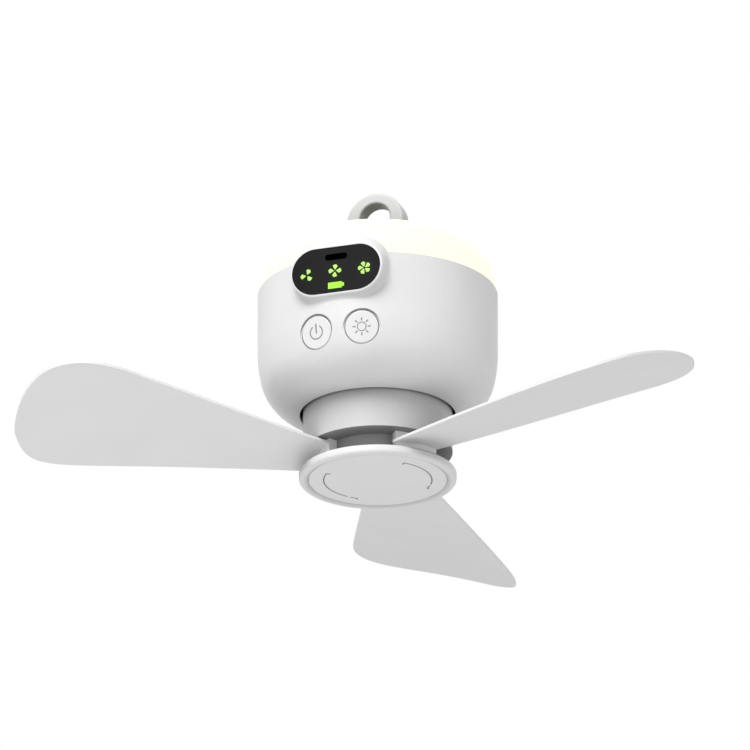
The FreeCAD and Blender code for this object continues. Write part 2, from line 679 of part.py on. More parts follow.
def make_housing_shell():
    """The cup-shaped shell with its flared display pod, screw posts, button holes and port slot."""
    body = new_body("housing_shell")
    revolve(body, "XZ_Plane", body_outline("0") + [("0", MOUTH_Z), ("0", BODY_TOP)])
    face = sketch_on(body, "XZ_Plane", POD_FACE)
    add_outline(face, stadium("0", POD_Z, "(window_width + 2 * pod_rim)", "(window_height + 2 * pod_rim)"))
    root = sketch_on(body, "XZ_Plane", f"{POD_FACE} - pod_depth")
    add_outline(root, stadium("0", f"({POD_Z} + (pod_top_flare - pod_bottom_flare) / 2)",
                              "(window_width + 2 * pod_rim + 2 * pod_flare)",
                              "(window_height + 2 * pod_rim + pod_top_flare + pod_bottom_flare)"))
    pod = body.newObject("PartDesign::AdditiveLoft", "housing_shell_pod")
    pod.Profile = root
    pod.Sections = [face]
    pod.Ruled = True
    DOC.recompute()
    edge = number(POD_FACE)
    rim = fillet(body, pod, "pod_rim - window_fit", lambda item, at: abs(at.y + edge) < NEAR)
    wall = number("body_radius")
    fillet(body, rim, "pod_blend",
           lambda item, at: abs(math.hypot(at.x, at.y) - wall) < NEAR and at.y < 0 and item.Length < wall)
    gap = "window_fit"
    revolve(body, "XZ_Plane", [
        ("0", BODY_TOP),
        (f"{DOME_RADIUS} + {gap}", BODY_TOP),
        (f"{DOME_RADIUS} + {gap}", f"{DOME_TOP} - dome_corner", f"dome_corner + {gap}", 1),
        (f"{DOME_RADIUS} - dome_corner", f"{DOME_TOP} + {gap}"),
        ("0", f"{DOME_TOP} + {gap}"),
    ], cutting=True)
    inside = body_outline("shell_wall")
    above = f"({BODY_TOP} + cut_over)"
    below = f"({MOUTH_Z} - cut_over)"
    inside[0] = (inside[0][0], above)
    revolve(body, "XZ_Plane", inside + [("mouth_radius", below), ("0", below), ("0", above)], cutting=True)
    extrude(body, "XZ_Plane", [stadium("0", POD_Z, "(window_width + 2 * window_fit)",
                                       "(window_height + 2 * window_fit)")],
            f"{POD_FACE} + cut_over", "window_thick + cut_over", cutting=True)
    extrude(body, "XZ_Plane", [stadium("0", LIGHT_BOX_Z, "(light_box_width + 2 * window_fit)",
                                       "(light_box_height + 2 * window_fit)")],
            f"{POD_FACE} + cut_over", f"{POD_FACE} + cut_over - {DISPLAY_BOARD_Y}", cutting=True)
    post = extrude(body, "XY_Plane", [], DECK_BOTTOM, "post_length", backward=True,
                   circles=[turned(POST_CIRCLE, "0", "90") + ("post_radius",)])
    post_hole = extrude(body, "XY_Plane", [], DECK_BOTTOM, "post_screw_depth", cutting=True,
                        circles=[turned(POST_CIRCLE, "0", "90") + ("screw_radius + screw_fit",)])
    polar(body, [post, post_hole], "post_count")
    leg_length = f"{MOUNT_BOTTOM} - {FLOOR_Z} - leg_foot_gap"
    leg = extrude(body, "XY_Plane", [], MOUNT_BOTTOM, leg_length, backward=True,
                  circles=[turned(LOBE_CIRCLE, "0", "90") + ("lobe_radius - leg_inset",)])
    leg_hole = extrude(body, "XY_Plane", [], MOUNT_BOTTOM, "post_screw_depth", cutting=True,
                       circles=[turned(LOBE_CIRCLE, "0", "90") + ("screw_radius + screw_fit",)])
    polar(body, [leg, leg_hole], "post_count")
    for side in (-1, 1):
        for radius, start in (("button_radius + moving_gap", FLANGE_FACE),
                              ("groove_radius", "body_radius - groove_depth")):
            sketch = sketch_on(body, "XZ_Plane", start)
            add_circle(sketch, "0", BUTTON_Z, radius)
            hole = body.newObject("PartDesign::Pocket", "housing_shell_button_hole")
            hole.Profile = sketch
            hole.Reversed = True
            bind(hole, "Length", "2 * button_radius")
            turn_about_z(sketch, start, side)
    extrude(body, "XZ_Plane", [stadium("0", PORT_Z, "(port_width + 2 * port_fit)",
                                       "(port_height + 2 * port_fit)")],
            f"-({INNER_RADIUS} - cut_over)", "shell_wall + 2 * cut_over", cutting=True)


def turn_about_z(sketch, reach, side):
    """Swing a front-facing sketch about Z by the button angle, at a distance from the axis."""
    sketch.AttachmentOffset = FreeCAD.Placement(FreeCAD.Vector(0, 0, 0),
                                                FreeCAD.Rotation(FreeCAD.Vector(0, 1, 0), 1))
    bind(sketch, "AttachmentOffset.Rotation.Angle", f"{side} * button_angle")
    bind(sketch, "AttachmentOffset.Base.x", f"{side} * ({reach}) * sin(button_angle)")
    bind(sketch, "AttachmentOffset.Base.y", "0")
    bind(sketch, "AttachmentOffset.Base.z", f"({reach}) * cos(button_angle)")


def make_display():
    """Dark window, the box that keeps the icons' light apart, and the board with its chips behind."""
    window = new_body("display_window")
    extrude(window, "XZ_Plane", [stadium("0", POD_Z, "window_width", "window_height")],
            WINDOW_BACK, "window_thick")
    icon_z = f"({POD_Z} - icon_drop)"
    battery_z = f"({POD_Z} - battery_icon_drop)"
    receiver_z = f"({POD_Z} + receiver_rise)"
    light_box = new_body("display_light_box")
    extrude(light_box, "XZ_Plane", [stadium("0", LIGHT_BOX_Z, "light_box_width", "light_box_height")],
            DISPLAY_BOARD_Y, f"{WINDOW_BACK} - {DISPLAY_BOARD_Y}")
    slots = [
        rectangle("-battery_icon_width / 2", f"{battery_z} - battery_icon_height / 2",
                  "battery_icon_width / 2", f"{battery_z} + battery_icon_height / 2"),
        rectangle("-receiver_width / 2", f"{receiver_z} - receiver_height / 2",
                  "receiver_width / 2", f"{receiver_z} + receiver_height / 2"),
    ]
    columns = ["-icon_pitch", "0", "icon_pitch"]
    extrude(light_box, "XZ_Plane", slots, f"{WINDOW_BACK} + cut_over", "2 * pod_depth", cutting=True,
            circles=[(x, icon_z, "icon_radius") for x in columns])
    board = new_body("display_board")
    board_width = "light_box_width + 2 * board_margin"
    extrude(board, "XZ_Plane", [stadium("0", LIGHT_BOX_Z, board_width, "light_box_height")],
            f"{DISPLAY_BOARD_Y} - board_thick", "board_thick")
    half = "display_led_side / 2"
    spots = [(x, icon_z) for x in columns] + [("0", battery_z)]
    chips = new_body("display_leds")
    extrude(chips, "XZ_Plane", [rectangle(f"{x} - ({half})", f"{z} - ({half})", f"{x} + ({half})",
                                          f"{z} + ({half})") for x, z in spots],
            DISPLAY_BOARD_Y, "led_height")
    receiver = new_body("infrared_receiver")
    half_x = "(receiver_width / 2 - receiver_inset)"
    half_z = "(receiver_height / 2 - receiver_fit)"
    extrude(receiver, "XZ_Plane", [rectangle(f"-{half_x}", f"{receiver_z} - {half_z}",
                                             half_x, f"{receiver_z} + {half_z}")],
            DISPLAY_BOARD_Y, f"({WINDOW_BACK} - {DISPLAY_BOARD_Y}) / 2")


def make_button(label, side):
    """A round push button with a leaning face, a flange and a stem, and the switch and board behind it."""
    angle = f"{side} * button_angle - 90"
    flange_back = f"({FLANGE_FACE} - flange_thick)"
    button = new_body(label + "_button")
    reach = "(button_radius + cut_over)"
    front = f"({BUTTON_FACE} + {reach})"
    revolve(button, "XY_Plane", [
        (STEM_END, "0"),
        (front, "0"),
        (front, "button_radius"),
        (FLANGE_FACE, "button_radius"),
        (FLANGE_FACE, "flange_radius"),
        (flange_back, "flange_radius"),
        (flange_back, "stem_radius"),
        (STEM_END, "stem_radius"),
    ], axis="H_Axis")
    cut = extrude(button, "XZ_Plane", [[
        (f"{BUTTON_FACE} - {reach} * tan(button_lean)", f"-{reach}"),
        (f"{front} + cut_over", f"-{reach}"),
        (f"{front} + cut_over", reach),
        (f"{BUTTON_FACE} + {reach} * tan(button_lean)", reach),
    ]], "0", f"4 * {reach}", cutting=True, symmetric=True)
    flange = number(FLANGE_FACE)
    fillet(button, cut, "button_rounding", lambda edge, at: at.x > flange + NEAR and edge.isClosed())
    switch = new_body(label + "_switch")
    half = "switch_side / 2"
    extrude(switch, "YZ_Plane", [rectangle(f"-{half}", f"-{half}", half, half)], SWITCH_BOARD,
            "switch_height - switch_plunger")
    extrude(switch, "YZ_Plane", [], SWITCH_BOARD, "switch_height",
            circles=[("0", "0", "stem_radius - plunger_inset")])
    board = new_body(label + "_switch_board")
    half = "switch_board_side / 2"
    extrude(board, "YZ_Plane", [rectangle(f"-{half}", f"-{half}", half, half)],
            f"{SWITCH_BOARD} - board_thick", "board_thick")
    for item in (button, switch, board):
        place(item, angle, z=BUTTON_Z)


def make_button_bracket():
    body = new_body("button_bracket")
    extrude(body, "XY_Plane", [sector(MOUNT_RADIUS, f"({SWITCH_BOARD} - board_thick)", "bracket_half_angle")],
            "-switch_board_side / 2", "switch_board_side")
    place(body, "-90", z=BUTTON_Z)


def leg_circles(radius):
    """The same circle at each of the battery tray's four legs."""
    return [(x, y, radius) for x in ("leg_x", "-leg_x") for y in ("leg_y", "-leg_y")]


def make_battery():
    """Three lying cells in a saddle tray, which stands on four legs through the main board."""
    rows = ["-cell_pitch", "0", "cell_pitch"]
    cells = new_body("battery_cells")
    extrude(cells, "YZ_Plane", [], "0", "cell_length", symmetric=True,
            circles=[(y, CELL_Z, "cell_radius") for y in rows])
    tray = new_body("battery_tray")
    half_x = "tray_length / 2"
    half_y = "(cell_pitch + cell_radius + cell_fit + tray_side)"
    extrude(tray, "XY_Plane", [rectangle(f"-{half_x}", f"-{half_y}", half_x, half_y)], TRAY_BOTTOM,
            "tray_height")
    extrude(tray, "XY_Plane", [], TRAY_BOTTOM, "leg_shoulder", backward=True,
            circles=leg_circles("leg_radius"))
    extrude(tray, "XY_Plane", [], TRAY_BOTTOM, f"{TRAY_BOTTOM} - {MOUNT_TOP}", backward=True,
            circles=leg_circles("leg_tip_radius"))
    extrude(tray, "XY_Plane", [], MOUNT_TOP, "leg_screw_length", cutting=True, backward=True,
            circles=leg_circles("screw_radius + screw_fit"))
    for y in rows:
        extrude(tray, "YZ_Plane", [], "0", "cell_length + 2 * cell_fit", cutting=True, symmetric=True,
                circles=[(y, CELL_Z, "cell_radius + cell_fit")])
    spacers = new_body("board_spacers")
    extrude(spacers, "XY_Plane", [], MOUNT_TOP, f"{MAIN_BOARD_BOTTOM} - {MOUNT_TOP}",
            circles=leg_circles("leg_radius") + leg_circles("leg_tip_radius + board_fit"))
    screws = new_body("tray_screws")
    extrude(screws, "XY_Plane", [], MOUNT_BOTTOM, "screw_head", backward=True,
            circles=leg_circles("screw_head_radius"))
    extrude(screws, "XY_Plane", [], MOUNT_BOTTOM, "mount_thick + leg_screw_length - screw_end_gap",
            circles=leg_circles("screw_radius"))


def make_main_board():
    """The round board with a tongue at the back for the charging port, and its two largest components."""
    board = new_body("main_board")
    extrude(board, "XY_Plane", [], MAIN_BOARD_BOTTOM, "board_thick",
            circles=[("0", "0", "main_board_radius")])
    half = "port_board_width / 2"
    extrude(board, "XY_Plane", [rectangle(f"-{half}", "0", half, f"{INNER_RADIUS} - port_board_gap")],
            MAIN_BOARD_BOTTOM, "board_thick")
    extrude(board, "XY_Plane", [], MAIN_BOARD_TOP, "board_thick", cutting=True,
            circles=leg_circles("leg_tip_radius + board_fit"))
    parts = new_body("board_components")
    side = "chip_side / 2"
    for x, height in (("-chip_x", "chip_height"), ("chip_x", "choke_height")):
        extrude(parts, "XY_Plane", [rectangle(f"{x} - {side}", f"-{side}", f"{x} + {side}", side)],
                MAIN_BOARD_TOP, height)
    port = new_body("charging_port")
    mouth = "-(body_radius - port_sink)"
    extrude(port, "XZ_Plane", [stadium("0", PORT_Z, "port_width", "port_height")], mouth, "port_length")
    extrude(port, "XZ_Plane", [stadium("0", PORT_Z, "(port_width - 2 * port_wall)",
                                       "(port_height - 2 * port_wall)")],
            mouth, "port_length - 2 * port_wall", cutting=True, backward=True)
    extrude(port, "XZ_Plane", [rectangle("-tongue_width / 2", f"{PORT_Z} - tongue_thick / 2",
                                         "tongue_width / 2", f"{PORT_Z} + tongue_thick / 2")],
            f"{mouth} + tongue_sink", "port_length - tongue_sink")


def make_motor_mount():
    """The motor's plate on its three lobes, with the bearing tube that hangs from it."""
    body = new_body("motor_mount")
    revolve(body, "XZ_Plane", [
        ("bearing_radius", MOUNT_TOP),
        (MOUNT_RADIUS, MOUNT_TOP),
        (MOUNT_RADIUS, MOUNT_BOTTOM),
        ("tube_radius", MOUNT_BOTTOM),
        ("tube_radius", TUBE_BOTTOM),
        ("bearing_radius", TUBE_BOTTOM),
        ("bearing_radius", f"{TUBE_BOTTOM} + bearing_width"),
        ("tube_neck", f"{TUBE_BOTTOM} + bearing_width"),
        ("tube_neck", f"{MOUNT_TOP} - bearing_width"),
        ("bearing_radius", f"{MOUNT_TOP} - bearing_width"),
    ])
    extrude(body, "XY_Plane", [], MOUNT_TOP, "mount_thick", cutting=True,
            circles=leg_circles("screw_radius + screw_fit"))
    start = f"{MOUNT_RADIUS} - lobe_overlap"
    arm = extrude(body, "XY_Plane", [rectangle("-lobe_radius", start, "lobe_radius", LOBE_CIRCLE)],
                  MOUNT_BOTTOM, "mount_thick")
    lobe = extrude(body, "XY_Plane", [], MOUNT_BOTTOM, "mount_thick",
                   circles=[turned(LOBE_CIRCLE, "0", "90") + ("lobe_radius",)])
    hole = extrude(body, "XY_Plane", [], MOUNT_TOP, "mount_thick", cutting=True,
                   circles=[turned(LOBE_CIRCLE, "0", "90") + ("screw_radius + screw_fit",)])
    polar(body, [arm, lobe, hole], "post_count")
    screw_set("mount_screws", LOBE_CIRCLE, "post_count", MOUNT_TOP, "mount_thick + deck_screw_bite",
              first="90")
    ring("bearing_upper", "shaft_radius + shaft_fit", "bearing_radius", f"{MOUNT_TOP} - bearing_width",
         MOUNT_TOP)
    ring("bearing_lower", "shaft_radius + shaft_fit", "bearing_radius", TUBE_BOTTOM,
         f"{TUBE_BOTTOM} + bearing_width")


def make_motor():
    """Toothed stator with a coil on each tooth, and the shaft, bell and magnets that turn round it."""
    stator = ring("motor_stator", "tube_radius", "yoke_radius", STATOR_BOTTOM, STATOR_TOP)
    shoe_inner = "(stator_radius - shoe_thick)"
    tooth = extrude(stator, "XY_Plane", [rectangle("yoke_radius - tooth_overlap", "-tooth_width / 2",
                                                   f"{shoe_inner} + tooth_overlap", "tooth_width / 2")],
                    STATOR_BOTTOM, "stator_height")
    shoe = extrude(stator, "XY_Plane", [sector(shoe_inner, "stator_radius", "shoe_half_angle")],
                   STATOR_BOTTOM, "stator_height")
    polar(stator, [tooth, shoe], "tooth_count")
    coils = new_body("stator_windings")
    half_y = "(tooth_width / 2 + coil_bulge)"
    start = "(yoke_radius + coil_clear)"
    coil = extrude(coils, "YZ_Plane", [
        rectangle(f"-{half_y}", f"{STATOR_BOTTOM} - coil_rise", half_y, f"{STATOR_TOP} + coil_rise"),
        rectangle("-tooth_width / 2", STATOR_BOTTOM, "tooth_width / 2", STATOR_TOP),
    ], start, f"{shoe_inner} - coil_shoe_gap - {start}")
    polar(coils, [coil], "tooth_count")
    shaft = new_body("motor_shaft")
    revolve(shaft, "XZ_Plane", rectangle("0", SHAFT_BOTTOM, "shaft_radius", f"{MOUNT_TOP} + shaft_top"))
    ring("shaft_clip", "shaft_radius", "clip_radius", f"{MOUNT_TOP} + clip_gap",
         f"{MOUNT_TOP} + clip_gap + clip_thick")
    bell = new_body("rotor_bell")
    bell_top = f"({BELL_BOTTOM} + bell_height)"
    revolve(bell, "XZ_Plane", [
        ("shaft_radius", BELL_BOTTOM),
        (BELL_RADIUS, BELL_BOTTOM),
        (BELL_RADIUS, bell_top),
        (BELL_INNER, bell_top),
        (BELL_INNER, f"{BELL_BOTTOM} + bell_wall"),
        ("shaft_radius", f"{BELL_BOTTOM} + bell_wall"),
    ])
    bell_holes = hub_holes(bell, BELL_BOTTOM, "bell_wall")
    polar(bell, [bell_holes], "blade_count")
    magnets = new_body("rotor_magnets")
    magnet = extrude(magnets, "XY_Plane", [sector(MAGNET_INNER, BELL_INNER, "magnet_fill / 2")],
                     f"{STATOR_MIDDLE} - magnet_height / 2", "magnet_height")
    polar(magnets, [magnet], "magnet_count")


def hub_holes(body, bottom, depth, radius="hub_screw_radius + screw_fit"):
    """One clearance hole of the hub's screw circle, between the first two blades."""
    return extrude(body, "XY_Plane", [], bottom, depth, cutting=True, backward=True,
                   circles=[turned("hub_screw_circle", "0", HUB_SCREW_ANGLE) + (radius,)])


def make_hub():
    """The drum under the housing, the core that carries the blades, and what clamps them to the shaft."""
    drum = new_body("hub_drum")
    inner = f"({COLLAR_RADIUS} - drum_wall)"
    floor = f"({COLLAR_BOTTOM} + drum_wall)"
    drum_top = f"({MOUTH_Z} + drum_entry)"
    revolve(drum, "XZ_Plane", [
        ("shaft_radius", COLLAR_BOTTOM),
        (COLLAR_RADIUS, COLLAR_BOTTOM),
        (COLLAR_RADIUS, drum_top),
        (inner, drum_top),
        (inner, floor),
        ("drum_boss_radius", floor),
        ("drum_boss_radius", BELL_BOTTOM),
        ("shaft_radius", BELL_BOTTOM),
    ])
    polar(drum, [hub_holes(drum, COLLAR_BOTTOM, f"{BELL_BOTTOM} - {COLLAR_BOTTOM}")], "blade_count")
    carrier = new_body("blade_carrier")
    groove = f"({LUG_OUTER} + lug_fit)"
    revolve(carrier, "XZ_Plane", [
        ("shaft_radius", COLLAR_BOTTOM),
        ("core_radius", COLLAR_BOTTOM),
        ("core_radius", ROOT_BOTTOM),
        ("socket_radius", ROOT_BOTTOM),
        ("socket_radius", SHELF_Z),
        (groove, SHELF_Z),
        (groove, SOCKET_ROOF),
        ("shaft_radius", SOCKET_ROOF),
    ])
    slot = extrude(carrier, "XY_Plane", [sector("socket_radius - cut_over", groove, "slot_angle / 2")],
                   ROOT_BOTTOM, "lug_shelf", cutting=True, backward=True)
    neck = "(tongue_neck_half + root_fit)"
    head = "(tongue_head_half + root_fit)"
    head_start = "(core_radius - tongue_reach - root_fit)"
    head_end = "(core_radius - tongue_reach + tongue_head_reach + root_fit)"
    pocket = extrude(carrier, "XY_Plane", [[
        (head_start, f"-{head}"),
        (head_end, f"-{head}"),
        (head_end, f"-{neck}"),
        ("core_radius + cut_over", f"-{neck}"),
        ("core_radius + cut_over", neck),
        (head_end, neck),
        (head_end, head),
        (head_start, head),
    ]], ROOT_BOTTOM, "root_height - tongue_drop", cutting=True, backward=True)
    local = ["hub_screw_circle * cos(180 / blade_count)", "hub_screw_circle * sin(180 / blade_count)"]
    hole = extrude(carrier, "XY_Plane", [], ROOT_BOTTOM, "root_height", cutting=True, backward=True,
                   circles=[(local[0], local[1], "hub_screw_radius + screw_fit")])
    sink = extrude(carrier, "XY_Plane", [], ROOT_BOTTOM, f"{HUB_SEAT} - {ROOT_BOTTOM}", cutting=True,
                   backward=True, circles=[(local[0], local[1], "hub_head_radius + moving_gap")])
    polar(carrier, [slot, pocket, hole, sink], "blade_count")
    place(carrier, "first_blade_angle")
    screw_set("rotor_screws", "hub_screw_circle", "blade_count", HUB_SEAT,
              f"{BELL_BOTTOM} + bell_wall - {HUB_SEAT}", radius="hub_screw_radius", head="hub_head_radius",
              first=HUB_SCREW_ANGLE, upward=True)
    nut = new_body("hub_nut")
    corners = [turned("nut_radius", "0", str(60 * corner)) for corner in range(6)]
    extrude(nut, "XY_Plane", [corners], f"{SOCKET_ROOF} - nut_height", "nut_height",
            circles=[("0", "0", "shaft_radius")])


def make_cap():
    """The bayonet cap that locks the blades in, with the inlaid disc in its face."""
    cap = new_body("lock_cap")
    lip = f"({CAP_RADIUS} - cap_rim)"
    recess = f"({CAP_BOTTOM} + disc_sink + disc_thick)"
    top_edge = "cap_top_rounding"
    slope_radius = "(rim_slope ^ 2 + disc_sink ^ 2) / (2 * disc_sink)"
    revolve(cap, "XZ_Plane", [
        ("0", recess),
        (lip, recess),
        (lip, f"{CAP_BOTTOM} + disc_sink", slope_radius, 1),
        (f"{lip} + rim_slope", CAP_BOTTOM),
        (f"{CAP_RADIUS} - cap_rounding", CAP_BOTTOM, "cap_rounding", 1),
        (CAP_RADIUS, f"{CAP_BOTTOM} + cap_rounding"),
        (CAP_RADIUS, f"{CAP_TOP} - {top_edge}", top_edge, 1),
        (f"{CAP_RADIUS} - {top_edge}", CAP_TOP),
        (LUG_INNER, CAP_TOP),
        (LUG_INNER, LUG_TOP),
        (f"{LUG_INNER} - sleeve_wall", LUG_TOP),
        (f"{LUG_INNER} - sleeve_wall", CAP_TOP),
        ("0", CAP_TOP),
    ])
    lug = extrude(cap, "XY_Plane", [sector(f"({LUG_INNER} - cut_over)", LUG_OUTER, "lug_angle / 2")],
                  f"{LUG_TOP} - lug_thick", "lug_thick")
    polar(cap, [lug], "blade_count")
    place(cap, HUB_SCREW_ANGLE)
    disc = new_body("cap_disc")
    revolve(disc, "XZ_Plane", rectangle("0", f"{CAP_BOTTOM} + disc_sink", f"{lip} - disc_fit", recess))


def blade_height(radius, across, depth):
    """A point of the twisted, cambered blade: radius from the axis, distance across, height off the sheet."""
    start = number(COLLAR_RADIUS)
    share = (radius - start) / (number("tip_station") - start)
    pitch = math.radians(number("root_pitch") + (number("tip_pitch") - number("root_pitch")) * share)
    camber = depth - number("tip_camber") * share * (across / number("camber_span")) ** 2
    lift = number(BLADE_Z) + (radius - start) * math.tan(math.radians(number("cone_rise")))
    return FreeCAD.Vector(radius, across * math.cos(pitch) - camber * math.sin(pitch),
                          lift + across * math.sin(pitch) + camber * math.cos(pitch))


def blade_section(radius):
    """A closed section of the sheet that the blade is cut from, square to its length."""
    half = number("sheet_half_width")
    depth = number("blade_thick") / 2
    spots = [half * step / 3 for step in range(-3, 4)]
    edges = []
    for side in (-1, 1):
        curve = Part.BSplineCurve()
        curve.interpolate([blade_height(radius, -side * spot, side * depth) for spot in spots])
        edges.append(curve.toShape())
    joins = [Part.makeLine(edges[0].Vertexes[-1].Point, edges[1].Vertexes[0].Point),
             Part.makeLine(edges[1].Vertexes[-1].Point, edges[0].Vertexes[0].Point)]
    return Part.Wire([edges[0], joins[0], edges[1], joins[1]])


def blade_outline():
    """The blade's plan: two straight sides that open outwards, and two curves that meet at the tip."""
    def spot(x, y):
        return FreeCAD.Vector(number(x), number(y), number(CAP_BOTTOM) - number("sheet_half_width"))
    lead_root = spot("root_radius - root_overlap", "root_lead")
    lead_end = spot("lead_end_station", "lead_end")
    tip = spot("tip_station", "-tip_offset")
    trail_end = spot("trail_end_station", "-trail_end")
    trail_root = spot("root_radius - root_overlap", "-root_trail")
    lean = math.radians(number("tip_lean"))
    along = FreeCAD.Vector(-math.sin(lean), -math.cos(lean), 0)
    lead = (lead_end - lead_root).normalize()
    trail = (trail_end - trail_root).normalize()
    curves = []
    for poles in ([lead_end, lead_end + lead * number("lead_handle"),
                   tip - along * number("tip_lead_handle"), tip],
                  [tip, tip + along * number("tip_trail_handle"), trail_end + trail * number("trail_handle"),
                   trail_end]):
        curve = Part.BezierCurve()
        curve.setPoles(poles)
        curves.append(curve.toShape())
    return Part.Wire([Part.makeLine(lead_root, lead_end), curves[0], curves[1],
                      Part.makeLine(trail_end, trail_root), Part.makeLine(trail_root, lead_root)])


def root_block():
    """The arc-sided root that fills a third of the hub's gap, with its rounded ends and its tongue."""
    origin = FreeCAD.Vector(0, 0, 0)
    up = FreeCAD.Vector(0, 0, 1)
    bottom = number(ROOT_BOTTOM) + number("root_fit") / 2
    height = number(COLLAR_BOTTOM) - bottom
    foot = FreeCAD.Vector(0, 0, bottom)
    inner = number("core_radius") + number("root_fit")
    outer = number("root_radius")
    half_angle = number("root_half_angle")
    block = Part.makeCylinder(outer, height, foot, up, 2 * half_angle)
    block.rotate(origin, up, -half_angle)
    block = block.cut(Part.makeCylinder(inner, height, foot, up))
    rounding = number("root_rounding")
    corner = Part.makeBox(outer, rounding + 1, rounding + 1, FreeCAD.Vector(inner - 1, -1, bottom - 1))
    axis = FreeCAD.Vector(inner - 2, rounding, bottom + rounding)
    corner = corner.cut(Part.makeCylinder(rounding, outer + 2, axis, FreeCAD.Vector(1, 0, 0)))
    corner.rotate(origin, up, -half_angle)
    block = block.cut(corner)
    block = block.cut(corner.mirror(origin, FreeCAD.Vector(0, 1, 0)))
    tongue_height = height - number("tongue_drop") - number("root_fit")
    start = number("core_radius") - number("tongue_reach")
    neck = number("tongue_neck_half")
    head = number("tongue_head_half")
    reach = number("tongue_head_reach")
    block = block.fuse(Part.makeBox(inner + 1 - start, 2 * neck, tongue_height,
                                    FreeCAD.Vector(start, -neck, bottom)))
    return block.fuse(Part.makeBox(reach, 2 * head, tongue_height, FreeCAD.Vector(start, -head, bottom)))


def make_blades():
    """Each blade is a twisted, cambered sheet cut to the plan and joined to its root."""
    start = number("root_radius - root_overlap - cut_over")
    end = number("tip_station + sheet_end")
    stations = [start + (end - start) * step / 5 for step in range(6)]
    sheet = Part.makeLoft([blade_section(station) for station in stations], True, False)
    prism = Part.Face(blade_outline()).extrude(FreeCAD.Vector(0, 0, 2 * number("sheet_half_width")))
    blade = sheet.common(prism).fuse(root_block()).removeSplitter()
    for count in range(round(number("blade_count"))):
        item = DOC.addObject("Part::Feature", f"blade_{count + 1}")
        item.Label = f"blade_{count + 1}"
        item.Shape = blade
        place(item, f"first_blade_angle + {count} * 360 / blade_count")
        PARTS.append(item)


def write_parts():
    """Check every object and every sub-part's solid, then write one file for each sub-part."""
    DOC.recompute()
    for item in DOC.Objects:
        if "Invalid" in item.State or "Error" in item.State:
            raise RuntimeError(f"{item.Label} failed: {item.State}")
    for part in PARTS:
        if part.Shape.isNull() or not part.Shape.isValid() or not part.Shape.Solids:
            raise RuntimeError(f"{part.Label} is not a sound solid")
    os.makedirs("parts", exist_ok=True)
    for part in PARTS:
        part.Shape.exportStep(f"parts/{part.Label}.step")
        print(part.Label, len(part.Shape.Solids), round(part.Shape.Volume, 1))


def main():
    fill_sheet()
    make_hanging_loop()
    make_loop_pin()
    make_hook_base()
    make_lamp()
    make_housing_shell()
    make_display()
    make_button("power", -1)
    make_button("light", 1)
    make_button_bracket()
    make_battery()
    make_main_board()
    make_motor_mount()
    make_motor()
    make_hub()
    make_cap()
    make_blades()
    write_parts()


main()
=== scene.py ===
"""Looks of a hanging camping fan with a lamp dome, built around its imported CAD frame.

Lengths are metres and the axes are the frame's: the origin is the middle of the hanging eye,
+Z is up and the display looks along -Y. Every CAD piece keeps its shape and gets a finish here.
The small relief that the CAD leaves out is modelled here: the lit icons of the display, the
symbols on the two buttons and the turning arrows of the cap.
"""

import math
from contextlib import contextmanager

import bmesh
import bpy
from bpy.props import FloatProperty, FloatVectorProperty, PointerProperty
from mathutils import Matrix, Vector


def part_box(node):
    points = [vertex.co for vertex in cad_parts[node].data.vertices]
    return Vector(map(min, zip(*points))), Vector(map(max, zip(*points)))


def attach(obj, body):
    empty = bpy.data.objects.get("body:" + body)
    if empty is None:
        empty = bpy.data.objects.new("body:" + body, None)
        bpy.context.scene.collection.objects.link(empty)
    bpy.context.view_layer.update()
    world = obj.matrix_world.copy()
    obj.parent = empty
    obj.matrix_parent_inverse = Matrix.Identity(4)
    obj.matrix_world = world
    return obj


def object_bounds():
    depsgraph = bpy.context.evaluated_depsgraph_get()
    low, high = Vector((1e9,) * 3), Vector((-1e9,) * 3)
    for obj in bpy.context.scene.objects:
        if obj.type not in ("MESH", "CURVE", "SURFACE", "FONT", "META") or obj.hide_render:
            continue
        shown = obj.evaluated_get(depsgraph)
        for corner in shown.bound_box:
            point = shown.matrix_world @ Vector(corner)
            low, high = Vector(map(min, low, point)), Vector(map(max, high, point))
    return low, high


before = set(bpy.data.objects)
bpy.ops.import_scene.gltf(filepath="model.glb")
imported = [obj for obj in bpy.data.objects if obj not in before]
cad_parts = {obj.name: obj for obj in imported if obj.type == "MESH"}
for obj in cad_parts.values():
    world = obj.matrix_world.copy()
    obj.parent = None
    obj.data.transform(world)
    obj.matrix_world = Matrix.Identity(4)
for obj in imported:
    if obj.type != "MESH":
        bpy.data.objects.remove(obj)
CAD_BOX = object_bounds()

bl_info = {
    "name": "Hanging Fan Looks",
    "version": (1, 0, 0),
    "blender": (4, 5, 0),
    "location": "3D View > Sidebar > Hanging Fan",
    "description": "Finishes, small relief and a plain studio for a hanging camping fan",
    "category": "Object",
}

MM = 0.001

# Places read from the frame
WINDOW_LOW, WINDOW_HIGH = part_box("display_window")
WINDOW_MIDDLE = (WINDOW_LOW + WINDOW_HIGH) / 2
WINDOW_FACE = WINDOW_LOW.y
DISC_LOW, DISC_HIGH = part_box("cap_disc")
DISC_FACE = DISC_LOW.z
BUTTON_LOW, BUTTON_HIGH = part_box("power_button")

# Places on the two round buttons, whose faces look outwards from the axis and lean with the body
BUTTON_SWING = math.radians(11.7)
BUTTON_LEAN = math.radians(7.2)
BUTTON_REACH = 49.15 * MM
BUTTON_Z = (BUTTON_LOW.z + BUTTON_HIGH.z) / 2

# Points closer together than this are one
WELD = 1e-7

# Speed icons: name, number of blades, width of a blade, and the first blade's angle in degrees
SPEED_ICONS = (
    ("low", 3, 1.95 * MM, -20),
    ("middle", 4, 1.95 * MM, -2),
    ("high", 5, 1.85 * MM, 16),
)

# Turning arrows of the cap: the angles of each one's tail and head, in degrees
ARROW_SPANS = ((143.5, 218.5), (32.0, -41.0))

